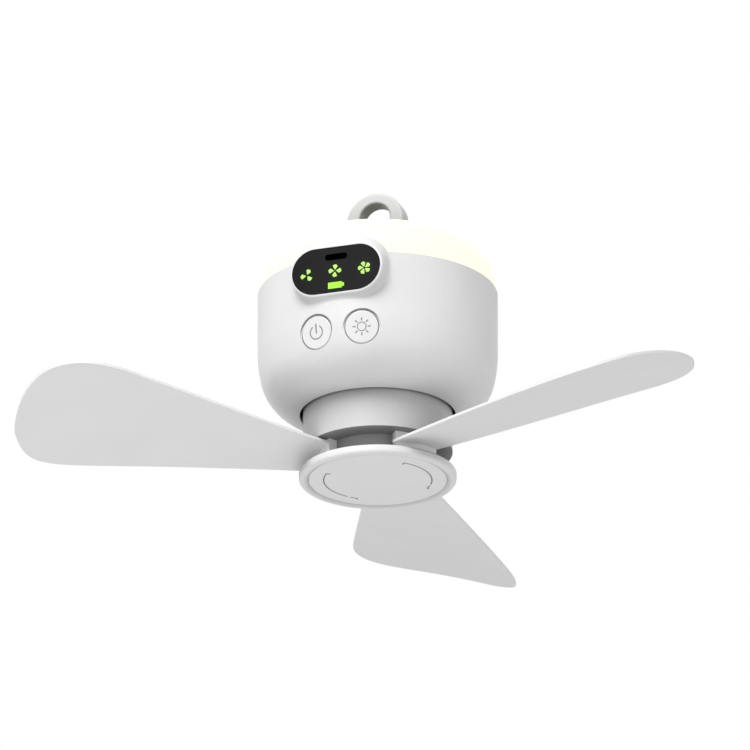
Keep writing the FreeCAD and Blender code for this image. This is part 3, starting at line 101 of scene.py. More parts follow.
# Sockets at which a Mix node takes and gives colours
MIX_FIRST, MIX_SECOND, MIX_RESULT = 6, 7, 2

# How far a recess's walls reach in the painted shade that darkens it, and how high a moulded or
# worked surface's grain stands
RECESS_REACH = 30 * MM
GRAIN_HEIGHT = 0.02 * MM

# Width of the painted shade on the slope inside the cap's rim
CAP_SHADE_WIDTH = 2.4 * MM

# Light of the dome as the camera sees it, and as it falls on everything else
DOME_SEEN = 0.72
DOME_CAST = 0.20

# A sign's green halo in the window is full up to the first distance and gone at the second
HALO_FULL, HALO_END = 2.6 * MM, 3.8 * MM

# Studio lamps: name, size in metres, watts, heading and height in degrees, distance in metres
LAMPS = (
    ("key_lamp", 0.9, 20.0, -8, 42, 1.6),
    ("fill_lamp", 1.6, 3.2, 85, 10, 1.8),
    ("low_lamp", 1.6, 8.5, 50, -78, 1.8),
)
WORLD_LIGHT = 0.42
FLOOR_SIZE = 30.0

# The camera's lens and sensor in millimetres, and the height in metres that it looks at
LENS = 960
SENSOR_WIDTH = 36
AIM_HEIGHT = -0.069


def colour_property(name, description, default):
    """A colour that a user may change, in linear light."""
    return FloatVectorProperty(
        name=name, description=description, default=default, size=4, min=0, max=1, subtype="COLOR"
    )


def length_property(name, description, default):
    """A length that a user may change, in metres."""
    return FloatProperty(name=name, description=description, default=default, min=0, unit="LENGTH")


class FanColours(bpy.types.PropertyGroup):
    """Colours of the fan's finishes."""

    housing: colour_property("Housing", "White of the body and the hook", (0.80, 0.80, 0.805, 1))
    hub: colour_property("Hub", "White of the collar and the lock cap", (0.88, 0.88, 0.88, 1))
    blade: colour_property(
        "Blades", "White of the blades and the cap's disc", (0.90, 0.90, 0.90, 1)
    )
    button: colour_property("Buttons", "White of the two buttons", (0.82, 0.82, 0.825, 1))
    dome: colour_property("Dome", "Milky, yellowish white of the lamp dome", (0.56, 0.56, 0.32, 1))
    lamp: colour_property("Lamp", "Warm light that comes through the dome", (1.0, 0.99, 0.80, 1))
    window: colour_property("Window", "Smoked front of the display", (0.011, 0.010, 0.011, 1))
    icon: colour_property("Icons", "Lit green of the speed icons", (0.47, 0.73, 0.16, 1))
    halo: colour_property(
        "Icon halo", "Green that an icon spreads in the window", (0.004, 0.022, 0.001, 1)
    )
    battery: colour_property(
        "Battery icon", "Lit green of the battery icon", (0.37, 0.86, 0.022, 1)
    )
    mark: colour_property("Marks", "Grey of the marks on the buttons", (0.30, 0.30, 0.30, 1))
    arrow: colour_property("Arrows", "Dark grey of the arrows on the cap", (0.13, 0.13, 0.13, 1))


class FanSizes(bpy.types.PropertyGroup):
    """Sizes of the small relief that is modelled here."""

    icon_radius: length_property("Icon radius", "From an icon's middle to its blade tips", 2.8 * MM)
    relief: length_property("Relief", "How far a mark stands out of the face under it", 0.06 * MM)
    sunk: length_property("Sunk", "How far a mark reaches into the face under it", 0.10 * MM)
    ring_radius: length_property("Power ring", "Radius of the power symbol's ring", 2.9 * MM)
    sun_radius: length_property("Sun disc", "Radius of the lamp symbol's circle", 1.85 * MM)
    mark_width: length_property("Mark width", "Width of the strokes on the buttons", 0.55 * MM)
    arrow_radius: length_property("Arrow radius", "Radius of the turning arrows", 22.5 * MM)
    arrow_width: length_property("Arrow width", "Width of the turning arrows' line", 0.45 * MM)


class FanStage(bpy.types.PropertyGroup):
    """The plain studio around the fan."""

    azimuth: FloatProperty(
        name="Camera azimuth",
        description="Camera's turn about the fan",
        default=math.radians(19.5),
        unit="ROTATION",
    )
    elevation: FloatProperty(
        name="Camera elevation",
        description="Camera's height angle",
        default=math.radians(-21.7),
        unit="ROTATION",
    )
    distance: length_property("Camera distance", "From the camera to the fan", 8.32)
    side_shift: length_property(
        "Side shift", "How far the fan stands off the view's middle", 1.165 * MM
    )
    floor_gap: length_property("Floor gap", "From the fan's lowest point to the floor", 0.30)


class FanLooks(bpy.types.PropertyGroup):
    """All that a user would change."""

    colours: PointerProperty(type=FanColours)
    sizes: PointerProperty(type=FanSizes)
    stage: PointerProperty(type=FanStage)


def looks():
    """The scene's settings."""
    return bpy.context.scene.hanging_fan


# Modelling helpers


def deselect():
    """Nothing selected and object mode."""
    if bpy.context.mode != "OBJECT":
        bpy.ops.object.mode_set(mode="OBJECT")
    bpy.ops.object.select_all(action="DESELECT")


def newest(name):
    """The object that an add operator has just made, named."""
    piece = bpy.context.active_object
    piece.name = name
    piece.data.name = name
    return piece


@contextmanager
def editing(piece):
    """The piece alone in edit mode, with everything on it selected."""
    deselect()
    bpy.context.view_layer.objects.active = piece
    piece.select_set(True)
    bpy.ops.object.mode_set(mode="EDIT")
    bpy.ops.mesh.select_all(action="SELECT")
    yield
    bpy.ops.object.mode_set(mode="OBJECT")


def pick(piece, kind, test):
    """Selects, in edit mode, the vertices, edges or faces that pass the test."""
    bpy.ops.mesh.select_mode(type=kind)
    bpy.ops.mesh.select_all(action="DESELECT")
    mesh = bmesh.from_edit_mesh(piece.data)
    parts = {"VERT": mesh.verts, "EDGE": mesh.edges, "FACE": mesh.faces}[kind]
    for part in parts:
        if test(part):
            part.select_set(True)
    mesh.select_flush_mode()
    bmesh.update_edit_mesh(piece.data)


def apply_place(piece):
    """Leaves the piece's object at the origin, with its place in its mesh."""
    deselect()
    bpy.context.view_layer.objects.active = piece
    piece.select_set(True)
    bpy.ops.object.transform_apply(location=True, rotation=True, scale=True)


def joined(name, pieces):
    """One object from several."""
    deselect()
    for piece in pieces:
        piece.select_set(True)
    bpy.context.view_layer.objects.active = pieces[0]
    if len(pieces) > 1:
        bpy.ops.object.join()
    return newest(name)


def settle(piece, finish, body):
    """Puts the piece's place in its mesh, its faces outwards, and gives it a finish and a body."""
    apply_place(piece)
    with editing(piece):
        bpy.ops.mesh.remove_doubles(threshold=WELD)
        bpy.ops.mesh.normals_make_consistent(inside=False)
    piece.select_set(True)
    bpy.ops.object.shade_smooth_by_angle(angle=math.radians(35))
    piece.data.materials.clear()
    piece.data.materials.append(finish)
    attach(piece, body)
    return piece


def turn_selected(angle):
    """Turns what is selected about the mark's origin. The operator itself turns the other way."""
    bpy.ops.transform.rotate(value=-angle, orient_axis="Z", center_override=(0, 0, 0))


def plate_depth():
    """The depth of a mark, and the height of its middle over the face that it sits in."""
    sizes = looks().sizes
    return sizes.relief + sizes.sunk, (sizes.relief - sizes.sunk) / 2


def bar(name, length, width, middle=(0, 0), turn=0.0, corner=0.45):
    """A flat bar with rounded corners, lying along X before its turn about the mark's origin."""
    depth, height = plate_depth()
    deselect()
    bpy.ops.mesh.primitive_cube_add(size=1, location=(0, 0, 0))
    piece = newest(name)
    piece.scale = (length, width, depth)
    apply_place(piece)
    with editing(piece):
        pick(piece, "EDGE", lambda edge: abs(edge.verts[0].co.z - edge.verts[1].co.z) > depth / 2)
        bpy.ops.mesh.bevel(offset=width * corner, segments=4)
        bpy.ops.mesh.select_all(action="SELECT")
        bpy.ops.transform.translate(value=(middle[0], middle[1], height))
        turn_selected(turn)
    return piece


def arc(name, radius, width, start, end, steps=48):
    """A flat ribbon that follows a circle about the mark's origin, from one angle to another.

    The spin turns the other way about +Z than the angles here, so its axis points down.
    """
    depth, height = plate_depth()
    deselect()
    bpy.ops.mesh.primitive_plane_add(size=1, location=(0, 0, 0), rotation=(math.pi / 2, 0, 0))
    piece = newest(name)
    piece.scale = (width, depth, 1)
    apply_place(piece)
    full = abs(end - start) >= math.tau - 1e-6
    with editing(piece):
        bpy.ops.transform.translate(value=(radius, 0, height))
        turn_selected(start)
        bpy.ops.mesh.spin(steps=steps, angle=end - start, center=(0, 0, 0), axis=(0, 0, -1))
        bpy.ops.mesh.select_all(action="SELECT")
        bpy.ops.mesh.remove_doubles(threshold=WELD)
        if full:
            pick(piece, "FACE", lambda face: abs(face.normal.z) < 0.5 and across(face))
            bpy.ops.mesh.delete(type="FACE")
        bpy.ops.mesh.select_all(action="SELECT")
        bpy.ops.mesh.normals_make_consistent(inside=False)
    return piece


def across(face):
    """True for a face that stands across a ribbon about the mark's origin."""
    middle = face.calc_center_median()
    outward = Vector((middle.x, middle.y, 0)).normalized()
    return abs(face.normal.dot(outward)) < 0.5


# Node helpers


def node(tree, kind, links=None, values=None, **settings):
    """A node with its settings, its linked sockets and its plain values."""
    made = tree.nodes.new(kind)
    for key, value in settings.items():
        setattr(made, key, value)
    for socket, value in (values or {}).items():
        made.inputs[socket].default_value = value
    for socket, source in (links or {}).items():
        tree.links.new(source, made.inputs[socket])
    return made


def sum_of(tree, operation, first, second):
    """A math node's result, from sockets or numbers."""
    made = tree.nodes.new("ShaderNodeMath")
    made.operation = operation
    for socket, value in zip(made.inputs, (first, second)):
        if isinstance(value, (int, float)):
            socket.default_value = value
        else:
            tree.links.new(value, socket)
    return made.outputs[0]


def in_range(tree, value, low, high, to_low, to_high):
    """A value carried from one range to another and held inside it."""
    made = node(
        tree,
        "ShaderNodeMapRange",
        {"Value": value},
        {"From Min": low, "From Max": high, "To Min": to_low, "To Max": to_high},
    )
    return made.outputs["Result"]


def new_group(name, inputs, outputs):
    """An empty node group with its named sockets, its tree and its two end nodes."""
    tree = bpy.data.node_groups.new(name, "ShaderNodeTree")
    for label, kind, value in inputs:
        socket = tree.interface.new_socket(label, in_out="INPUT", socket_type=kind)
        if value is not None:
            socket.default_value = value
    for label in outputs:
        tree.interface.new_socket(label, in_out="OUTPUT", socket_type="NodeSocketFloat")
    return tree, tree.nodes.new("NodeGroupInput"), tree.nodes.new("NodeGroupOutput")


def moulded_grain():
    """Fine spark grain of a mould, with the slow swell of a moulded wall under it."""
    if "Moulded grain" in bpy.data.node_groups:
        return bpy.data.node_groups["Moulded grain"]
    tree, source, result = new_group(
        "Moulded grain",
        [
            ("Vector", "NodeSocketVector", None),
            ("Grain", "NodeSocketFloat", 2600.0),
            ("Swell", "NodeSocketFloat", 45.0),
            ("Swell Height", "NodeSocketFloat", 1.5),
        ],
        ["Height", "Tone"],
    )
    fine = node(
        tree,
        "ShaderNodeTexNoise",
        {"Vector": source.outputs["Vector"], "Scale": source.outputs["Grain"]},
        {"Detail": 3.0, "Roughness": 0.6},
    )
    slow = node(
        tree,
        "ShaderNodeTexNoise",
        {"Vector": source.outputs["Vector"], "Scale": source.outputs["Swell"]},
        {"Detail": 1.5, "Roughness": 0.45},
    )
    raised = sum_of(tree, "MULTIPLY", slow.outputs["Fac"], source.outputs["Swell Height"])
    height = sum_of(tree, "ADD", fine.outputs["Fac"], raised)
    tone = in_range(tree, slow.outputs["Fac"], 0.3, 0.7, 0.0, 1.0)
    tree.links.new(height, result.inputs["Height"])
    tree.links.new(tone, result.inputs["Tone"])
    return tree


def handling_haze():
    """Soft patches where hands have dulled or polished a surface, with specks of dust."""
    if "Handling haze" in bpy.data.node_groups:
        return bpy.data.node_groups["Handling haze"]
    tree, source, result = new_group(
        "Handling haze",
        [
            ("Vector", "NodeSocketVector", None),
            ("Patch", "NodeSocketFloat", 28.0),
            ("Speck", "NodeSocketFloat", 700.0),
        ],
        ["Haze", "Dust"],
    )
    patch = node(
        tree,
        "ShaderNodeTexNoise",
        {"Vector": source.outputs["Vector"], "Scale": source.outputs["Patch"]},
        {"Detail": 4.0, "Roughness": 0.55, "Distortion": 0.4},
    )
    speck = node(
        tree,
        "ShaderNodeTexVoronoi",
        {"Vector": source.outputs["Vector"], "Scale": source.outputs["Speck"]},
        {"Randomness": 1.0},
    )
    haze = in_range(tree, patch.outputs["Fac"], 0.35, 0.65, 0.0, 1.0)
    dust = in_range(tree, speck.outputs["Distance"], 0.04, 0.10, 1.0, 0.0)
    tree.links.new(haze, result.inputs["Haze"])
    tree.links.new(dust, result.inputs["Dust"])
    return tree


def tool_lines():
    """Fine lines that a lathe, a brush or a stack of sheets leaves, along one axis."""
    if "Tool lines" in bpy.data.node_groups:
        return bpy.data.node_groups["Tool lines"]
    tree, source, result = new_group(
        "Tool lines",
        [
            ("Vector", "NodeSocketVector", None),
            ("Along", "NodeSocketFloat", 40.0),
            ("Across", "NodeSocketFloat", 4000.0),
        ],
        ["Height"],
    )
    stretch = node(
        tree,
        "ShaderNodeCombineXYZ",
        {"X": source.outputs["Along"], "Y": source.outputs["Along"], "Z": source.outputs["Across"]},
    )
    laid = node(
        tree,
        "ShaderNodeVectorMath",
        {0: source.outputs["Vector"], 1: stretch.outputs["Vector"]},
        operation="MULTIPLY",
    )
    lines = node(
        tree,
        "ShaderNodeTexNoise",
        {"Vector": laid.outputs["Vector"]},
        {"Scale": 1.0, "Detail": 2.0},
    )
    tree.links.new(lines.outputs["Fac"], result.inputs["Height"])
    return tree


def insides(material):
    """A material's tree and its shader node."""
    tree = material.node_tree
    return tree, tree.nodes["Principled BSDF"]


def new_material(name):
    """A material with a Principled BSDF: the material, its tree and its shader node."""
    material = bpy.data.materials.new(name)
    material.use_nodes = True
    return material, *insides(material)


def place(group, tree):
    """A node group placed in a material."""
    made = tree.nodes.new("ShaderNodeGroup")
    made.node_tree = group
    return made


def painted_recess_shade(tree, colour, shade):
    """Painted shade: a colour that falls off to a share of itself where the surface lies deep in a
    recess.
    """
    open_sky = node(
        tree, "ShaderNodeAmbientOcclusion", values={"Distance": RECESS_REACH}, samples=6
    )
    openness = in_range(tree, open_sky.outputs["AO"], 0.30, 0.95, shade, 1.0)
    grey = node(tree, "ShaderNodeCombineColor", {0: openness, 1: openness, 2: openness})
    made = tree.nodes.new("ShaderNodeMix")
    made.data_type = "RGBA"
    made.blend_type = "MULTIPLY"
    made.inputs["Factor"].default_value = 1.0
    tree.links.new(colour, made.inputs[MIX_FIRST])
    tree.links.new(grey.outputs["Color"], made.inputs[MIX_SECOND])
    return made.outputs[MIX_RESULT]


def darker(colour, share):
    """A colour at a share of its light."""
    return (colour[0] * share, colour[1] * share, colour[2] * share, 1.0)


def mixed(tree, factor, first, second):
    """A colour between two, by a mask. Each is a colour or a socket."""
    made = tree.nodes.new("ShaderNodeMix")
    made.data_type = "RGBA"
    tree.links.new(factor, made.inputs["Factor"])
    for socket, value in ((made.inputs[MIX_FIRST], first), (made.inputs[MIX_SECOND], second)):
        if isinstance(value, bpy.types.NodeSocket):
            tree.links.new(value, socket)
        else:
            socket.default_value = tuple(value)
    return made.outputs[MIX_RESULT]


def coordinates(tree):
    """The object coordinates of a surface."""
    return tree.nodes.new("ShaderNodeTexCoord").outputs["Object"]


def bump(tree, shader, height, strength, distance):
    """Sends a height to the shader's normal."""
    made = node(
        tree,
        "ShaderNodeBump",
        {"Height": height},
        {"Strength": strength, "Distance": distance},
    )
    tree.links.new(made.outputs["Normal"], shader.inputs["Normal"])


def moulded(name, colour, rough, grain=2600.0, bite=0.35, tone=0.965, specular=0.5, shade=1.0):
    """A moulded plastic: slight tone swell, satin patches, a little dust and spark grain.

    A shade under 1 also paints shade into its recesses, darkening the colour there.
    """
    material, tree, shader = new_material(name)
    vector = coordinates(tree)
    surface = place(moulded_grain(), tree)
    surface.inputs["Grain"].default_value = grain
    hands = place(handling_haze(), tree)
    tree.links.new(vector, surface.inputs["Vector"])
    tree.links.new(vector, hands.inputs["Vector"])
    toned = mixed(tree, surface.outputs["Tone"], darker(colour, tone), colour)
    dust = sum_of(tree, "MULTIPLY", hands.outputs["Dust"], 0.10)
    dusted = mixed(tree, dust, toned, darker(colour, 0.6))
    # Painted shade in recesses: from here on dusted holds dust and painted shade together
    if shade < 1.0:
        dusted = painted_recess_shade(tree, dusted, shade)
    tree.links.new(dusted, shader.inputs["Base Color"])
    roughness = in_range(tree, hands.outputs["Haze"], 0.0, 1.0, rough - 0.05, rough + 0.06)
    tree.links.new(roughness, shader.inputs["Roughness"])
    shader.inputs["Specular IOR Level"].default_value = specular
    bump(tree, shader, surface.outputs["Height"], bite, GRAIN_HEIGHT)
    return material


def bare_metal(name, colour, rough, along=40.0, across=4000.0, bite=0.3):
    """A worked metal: tool lines, tarnish in patches and an uneven polish."""
    material, tree, shader = new_material(name)
    vector = coordinates(tree)
    lines = place(tool_lines(), tree)
    lines.inputs["Along"].default_value = along
    lines.inputs["Across"].default_value = across
    hands = place(handling_haze(), tree)
    hands.inputs["Patch"].default_value = 120.0
    tree.links.new(vector, lines.inputs["Vector"])
    tree.links.new(vector, hands.inputs["Vector"])
    worn = mixed(tree, hands.outputs["Haze"], darker(colour, 0.86), colour)
    tree.links.new(worn, shader.inputs["Base Color"])
    roughness = in_range(tree, hands.outputs["Haze"], 0.0, 1.0, rough - 0.06, rough + 0.10)
    tree.links.new(roughness, shader.inputs["Roughness"])
    shader.inputs["Metallic"].default_value = 1.0
    bump(tree, shader, lines.outputs["Height"], bite, GRAIN_HEIGHT)
    return material


def housing_finish():
    """Satin white of the body, with painted shade in its recesses."""
    return moulded("Housing white", looks().colours.housing, 0.42, shade=0.55)


def hook_shaded_finish():
    """Satin white of the hanging loop and its base: the body's white darkened by painted shade,
    with painted shade in its recesses too.
    """
    return moulded("Hook shaded white", darker(looks().colours.housing, 0.84), 0.42, shade=0.25)


def collar_shaded_finish():
    """Satin white of the hub's collar, darkened by painted shade where it sits in the shade of the
    body, with painted shade in its recesses too.
    """
    return moulded("Collar shaded white", darker(looks().colours.hub, 0.76), 0.5, shade=0.30)


def cap_finish():
    """Satin white of the lock cap, with painted shade in its recesses and a soft painted shade on
    its inner slope.
    """
    material = moulded("Cap white", looks().colours.hub, 0.46, shade=0.30)
    tree, shader = insides(material)
    plan = node(
        tree, "ShaderNodeVectorMath", {0: coordinates(tree)}, {1: (1, 1, 0)}, operation="MULTIPLY"
    )
    away = node(tree, "ShaderNodeVectorMath", {0: plan.outputs["Vector"]}, operation="LENGTH")
    edge = DISC_HIGH.x
    # Painted shade: darker from the disc's edge outwards over the slope inside the rim
    painted_slope_shade = in_range(tree, away.outputs["Value"], edge, edge + CAP_SHADE_WIDTH, 1.0, 0.0)
    # The base colour so far, which already holds the painted shade of the recesses
    plain = shader.inputs["Base Color"].links[0].from_socket
    toned = mixed(tree, painted_slope_shade, plain, darker(looks().colours.hub, 0.66))
    tree.links.new(toned, shader.inputs["Base Color"])
    return material


def hub_finish():
    """Satin white of the blade carrier, with painted shade in its recesses."""
    return moulded("Hub white", looks().colours.hub, 0.46, shade=0.30)


def blade_finish():
    """Smooth white of the blades and the cap's disc."""
    return moulded("Blade white", looks().colours.blade, 0.50, grain=1800.0, bite=0.25, tone=0.975)


def button_finish():
    """White of the two buttons, a little smoother than the body."""
    return moulded("Button white", looks().colours.button, 0.36, grain=3200.0, bite=0.25)


def inner_finish():
    """Plain white of the moulded parts inside."""
    return moulded("Inner white", (0.60, 0.60, 0.59, 1.0), 0.55, grain=1500.0, bite=0.5, tone=0.92)


def black_finish():
    """Plain black of the switches, the chips and the receiver."""
    return moulded("Matt black", (0.022, 0.022, 0.023, 1.0), 0.5, grain=3000.0, bite=0.6, tone=0.8)


def dome_finish():
    """Milky dome with the lamp lit behind it, a touch stronger low down, by the ring of LEDs."""
    colours = looks().colours
    material = moulded("Milky dome", colours.dome, 0.40, grain=2200.0, bite=0.2, tone=0.985)
    tree, shader = insides(material)
    vector = coordinates(tree)
    parts = node(tree, "ShaderNodeSeparateXYZ", {0: vector})
    low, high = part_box("lamp_diffuser")
    rise = in_range(tree, parts.outputs["Z"], low.z, high.z, 0.0, 1.0)
    glow = mixed(tree, rise, colours.lamp, darker(colours.lamp, 0.92))
    tree.links.new(glow, shader.inputs["Emission Color"])
    path = tree.nodes.new("ShaderNodeLightPath")
    strength = in_range(tree, path.outputs["Is Camera Ray"], 0.0, 1.0, DOME_CAST, DOME_SEEN)
    tree.links.new(strength, shader.inputs["Emission Strength"])
    return material


def icon_places():
    """The middles of the lit signs on the display, in the display's own plane: across and up."""
    return {
        "low": (-12.8 * MM, -1.15 * MM),
        "middle": (-0.5 * MM, -0.55 * MM),
        "high": (12.4 * MM, -0.9 * MM),
        "battery": (-0.46 * MM, -7.0 * MM),
    }


def window_finish():
    """Smoked gloss window, with the green light of each sign spread a little into it."""
    colours = looks().colours
    material, tree, shader = new_material("Smoked window")
    vector = coordinates(tree)
    hands = place(handling_haze(), tree)
    tree.links.new(vector, hands.inputs["Vector"])
    tinted = mixed(tree, hands.outputs["Haze"], darker(colours.window, 0.9), colours.window)
    roughness = in_range(tree, hands.outputs["Haze"], 0.0, 1.0, 0.16, 0.24)
    tree.links.new(roughness, shader.inputs["Roughness"])
    shader.inputs["Specular IOR Level"].default_value = 0.12
    total = None
    for across_it, up_it in icon_places().values():
        middle = (WINDOW_MIDDLE.x + across_it, WINDOW_FACE, WINDOW_MIDDLE.z + up_it)
        away = node(tree, "ShaderNodeVectorMath", {0: vector}, {1: middle}, operation="DISTANCE")
        spread = in_range(tree, away.outputs["Value"], HALO_FULL, HALO_END, 1.0, 0.0)
        total = spread if total is None else sum_of(tree, "MAXIMUM", total, spread)
    glow = mixed(tree, total, (0, 0, 0, 1), colours.halo)
    shaded = mixed(tree, total, tinted, darker(colours.window, 0.1))
    tree.links.new(shaded, shader.inputs["Base Color"])
    tree.links.new(glow, shader.inputs["Emission Color"])
    shader.inputs["Emission Strength"].default_value = 1.0
    grain = place(moulded_grain(), tree)
    tree.links.new(vector, grain.inputs["Vector"])
    bump(tree, shader, grain.outputs["Height"], 0.08, 0.01 * MM)
    return material


def lit_finish(name, colour, strength):
    """A lit sign: its own light, a little uneven, over a plain face."""
    material = moulded(name, darker(colour, 0.6), 0.4, grain=4000.0, bite=0.15)
    tree, shader = insides(material)
    uneven = node(
        tree,
        "ShaderNodeTexNoise",
        {"Vector": coordinates(tree)},
        {"Scale": 900.0, "Detail": 1.0},
    )
    light = mixed(tree, uneven.outputs["Fac"], darker(colour, 0.88), colour)
    tree.links.new(light, shader.inputs["Emission Color"])
    shader.inputs["Emission Strength"].default_value = strength
    return material


def led_finish():
    """Green of the small LEDs behind the display."""
    return lit_finish("Green LED", looks().colours.icon, 0.6)


def lamp_chip_finish():
    """Warm white of the lamp's LED chips."""
    return lit_finish("Lamp LED", (1.0, 0.86, 0.45, 1.0), 0.8)


def board_finish(name, colour):
    """A circuit board: solder mask with tracks under it, one step lighter and raised."""
    material, tree, shader = new_material(name)
    vector = coordinates(tree)
    tracks = node(
        tree,
        "ShaderNodeTexBrick",
        {"Vector": vector},
        {
            "Scale": 260.0,
            "Mortar Size": 0.035,
            "Mortar Smooth": 0.1,
            "Brick Width": 1.6,
            "Row Height": 0.35,
        },
        offset=0.37,
        squash=0.6,
        squash_frequency=3,
    )
    hands = place(handling_haze(), tree)
    tree.links.new(vector, hands.inputs["Vector"])
    tracked = mixed(tree, tracks.outputs["Fac"], colour, darker(colour, 0.55))
    haze = sum_of(tree, "MULTIPLY", hands.outputs["Haze"], 0.15)
    dusted = mixed(tree, haze, tracked, darker(colour, 1.15))
    tree.links.new(dusted, shader.inputs["Base Color"])
    roughness = in_range(tree, hands.outputs["Haze"], 0.0, 1.0, 0.28, 0.40)
    tree.links.new(roughness, shader.inputs["Roughness"])
    bump(tree, shader, tracks.outputs["Fac"], 0.4, 0.03 * MM)
    return material


def green_board_finish():
    """Green solder mask."""
    return board_finish("Green board", (0.012, 0.13, 0.045, 1.0))


def white_board_finish():
    """White solder mask of the lamp's ring board."""
    return board_finish("White board", (0.72, 0.72, 0.69, 1.0))


def steel_finish():
    """Turned steel of the screws, the pins and the shaft."""
    return bare_metal("Turned steel", (0.62, 0.61, 0.60, 1.0), 0.28)


def alloy_finish():
    """Cast alloy of the motor mount."""
    return bare_metal(
        "Cast alloy", (0.66, 0.66, 0.67, 1.0), 0.42, along=900.0, across=900.0, bite=0.5
    )


def port_finish():
    """Nickelled sleeve of the charging socket."""
    return bare_metal("Nickel sleeve", (0.60, 0.58, 0.55, 1.0), 0.30, along=2500.0, across=60.0)


def stator_finish():
    """Stacked steel sheets, whose edges show as fine lines."""
    return bare_metal(
        "Stacked sheets", (0.42, 0.42, 0.43, 1.0), 0.38, along=10.0, across=3000.0, bite=0.8
    )


def winding_finish():
    """Varnished copper wire, turn beside turn."""
    return bare_metal(
        "Copper wire", (0.72, 0.30, 0.14, 1.0), 0.26, along=15.0, across=2600.0, bite=0.9
    )


def magnet_finish():
    """Plated magnets."""
    return bare_metal(
        "Plated magnet", (0.50, 0.50, 0.52, 1.0), 0.22, along=300.0, across=300.0, bite=0.15
    )


def wrap_finish():
    """Shrunk sleeve of the battery cells."""
    return moulded("Cell sleeve", (0.05, 0.22, 0.36, 1.0), 0.3, grain=900.0, bite=0.3, tone=0.9)


def mark_finish():
    """Grey ink in the button's symbols."""
    return moulded("Mark grey", looks().colours.mark, 0.5, grain=4000.0, bite=0.4, tone=0.9)


def arrow_finish():
    """Dark ink of the cap's arrows."""
    return moulded("Arrow grey", looks().colours.arrow, 0.5, grain=4000.0, bite=0.4, tone=0.85)


FINISHES = {
    "white_plastic": housing_finish,
    "hub_plastic": hub_finish,
    "blade_plastic": blade_finish,
    "button_plastic": button_finish,
    "diffuser": dome_finish,
    "dark_window": window_finish,
    "inner_plastic": inner_finish,
    "black_plastic": black_finish,
    "white_board": white_board_finish,
    "green_board": green_board_finish,
    "led_chip": lamp_chip_finish,
    "led_green": led_finish,
    "steel": steel_finish,
    "port_metal": port_finish,
    "motor_alloy": alloy_finish,
    "stator_steel": stator_finish,
    "copper_wire": winding_finish,
    "magnet": magnet_finish,
    "cell_wrap": wrap_finish,
}
NODE_FINISHES = {
    "hanging_loop": hook_shaded_finish,
    "hook_base": hook_shaded_finish,
    "hub_drum": collar_shaded_finish,
    "lock_cap": cap_finish,
}


class FAN_OT_finishes(bpy.types.Operator):
    """Gives every carried-over piece the finish of its slot"""

    bl_idname = "hanging_fan.finishes"
    bl_label = "Finishes of the Parts"

    def execute(self, context):
        made = {}
        for name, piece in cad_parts.items():
            slot = piece.data.materials[0].name
            finish = NODE_FINISHES.get(name, FINISHES[slot])
            if finish not in made:
                made[finish] = finish()
            piece.data.materials[0] = made[finish]
        return {"FINISHED"}


def onto_display(piece, across_it, up_it):
    """Stands a mark up on the display's face, at a place given from the middle of the window."""
    piece.rotation_euler = (math.pi / 2, 0, 0)
    piece.location = (WINDOW_MIDDLE.x + across_it, WINDOW_FACE, WINDOW_MIDDLE.z + up_it)


def petal(name, radius, width):
    """One blade of a fan icon, pointing along +Y: it opens from the hub to a broad, leaning tip."""
    depth, height = plate_depth()
    hub, tip = width * 0.07, width * 0.20
    side = width / 2 - tip
    discs = []
    for size, aside, away in (
        (hub, 0, width * 0.30),
        (tip, -side, radius - tip * 1.5),
        (tip, side * 0.5, radius - tip),
        (tip * 0.8, side * 1.3, radius - tip * 2.4),
    ):
        deselect()
        bpy.ops.mesh.primitive_cylinder_add(
            vertices=24, radius=size, depth=depth, location=(aside, away, height)
        )
        disc = newest("petal_disc")
        apply_place(disc)
        discs.append(disc)
    piece = joined(name, discs)
    with editing(piece):
        bpy.ops.mesh.convex_hull()
    return piece


def fan_icon(name, blades, width, first):
    """A fan icon: like blades about a middle, the first at its own angle from straight up."""
    piece = petal(name, looks().sizes.icon_radius, width)
    with editing(piece):
        turn_selected(first)
        for _ in range(blades - 1):
            bpy.ops.mesh.duplicate()
            turn_selected(math.tau / blades)
    return piece


class FAN_OT_speed_icons(bpy.types.Operator):
    """Three lit fan icons, with three, four and five blades"""

    bl_idname = "hanging_fan.speed_icons"
    bl_label = "Speed Icons"

    def execute(self, context):
        finish = lit_finish("Lit icon", looks().colours.icon, 0.56)
        places = icon_places()
        for speed, blades, width, first in SPEED_ICONS:
            icon = fan_icon(f"speed_icon_{speed}", blades, width, math.radians(first))
            onto_display(icon, *places[speed])
            settle(icon, finish, "root")
        return {"FINISHED"}


class FAN_OT_battery_icon(bpy.types.Operator):
    """The lit battery sign under the speed icons"""

    bl_idname = "hanging_fan.battery_icon"
    bl_label = "Battery Icon"

    def execute(self, context):
        length, tall = 6.1 * MM, 2.75 * MM
        nub_length, nub_tall = 1.2 * MM, 1.55 * MM
        cell = bar("battery_cell", length, tall, corner=0.05)
        nub_middle = (length / 2 + nub_length / 4, 0)
        nub = bar("battery_nub", nub_length, nub_tall, nub_middle, corner=0.12)
        icon = joined("battery_icon", [cell, nub])
        onto_display(icon, *icon_places()["battery"])
        settle(icon, lit_finish("Lit battery", looks().colours.battery, 0.58), "root")
        return {"FINISHED"}


class FAN_OT_receiver_lens(bpy.types.Operator):
    """The black lens over the remote control's receiver"""

    bl_idname = "hanging_fan.receiver_lens"
    bl_label = "Receiver Lens"

    def execute(self, context):
        length, tall, rise = 9.7 * MM, 2.7 * MM, 5.7 * MM
        lens = bar("receiver_lens", length, tall)
        onto_display(lens, 0, rise)
        black = (0.0004, 0.0004, 0.0004, 1.0)
        finish = moulded("Receiver black", black, 0.6, tone=0.8, specular=0.0)
        settle(lens, finish, "root")
        return {"FINISHED"}


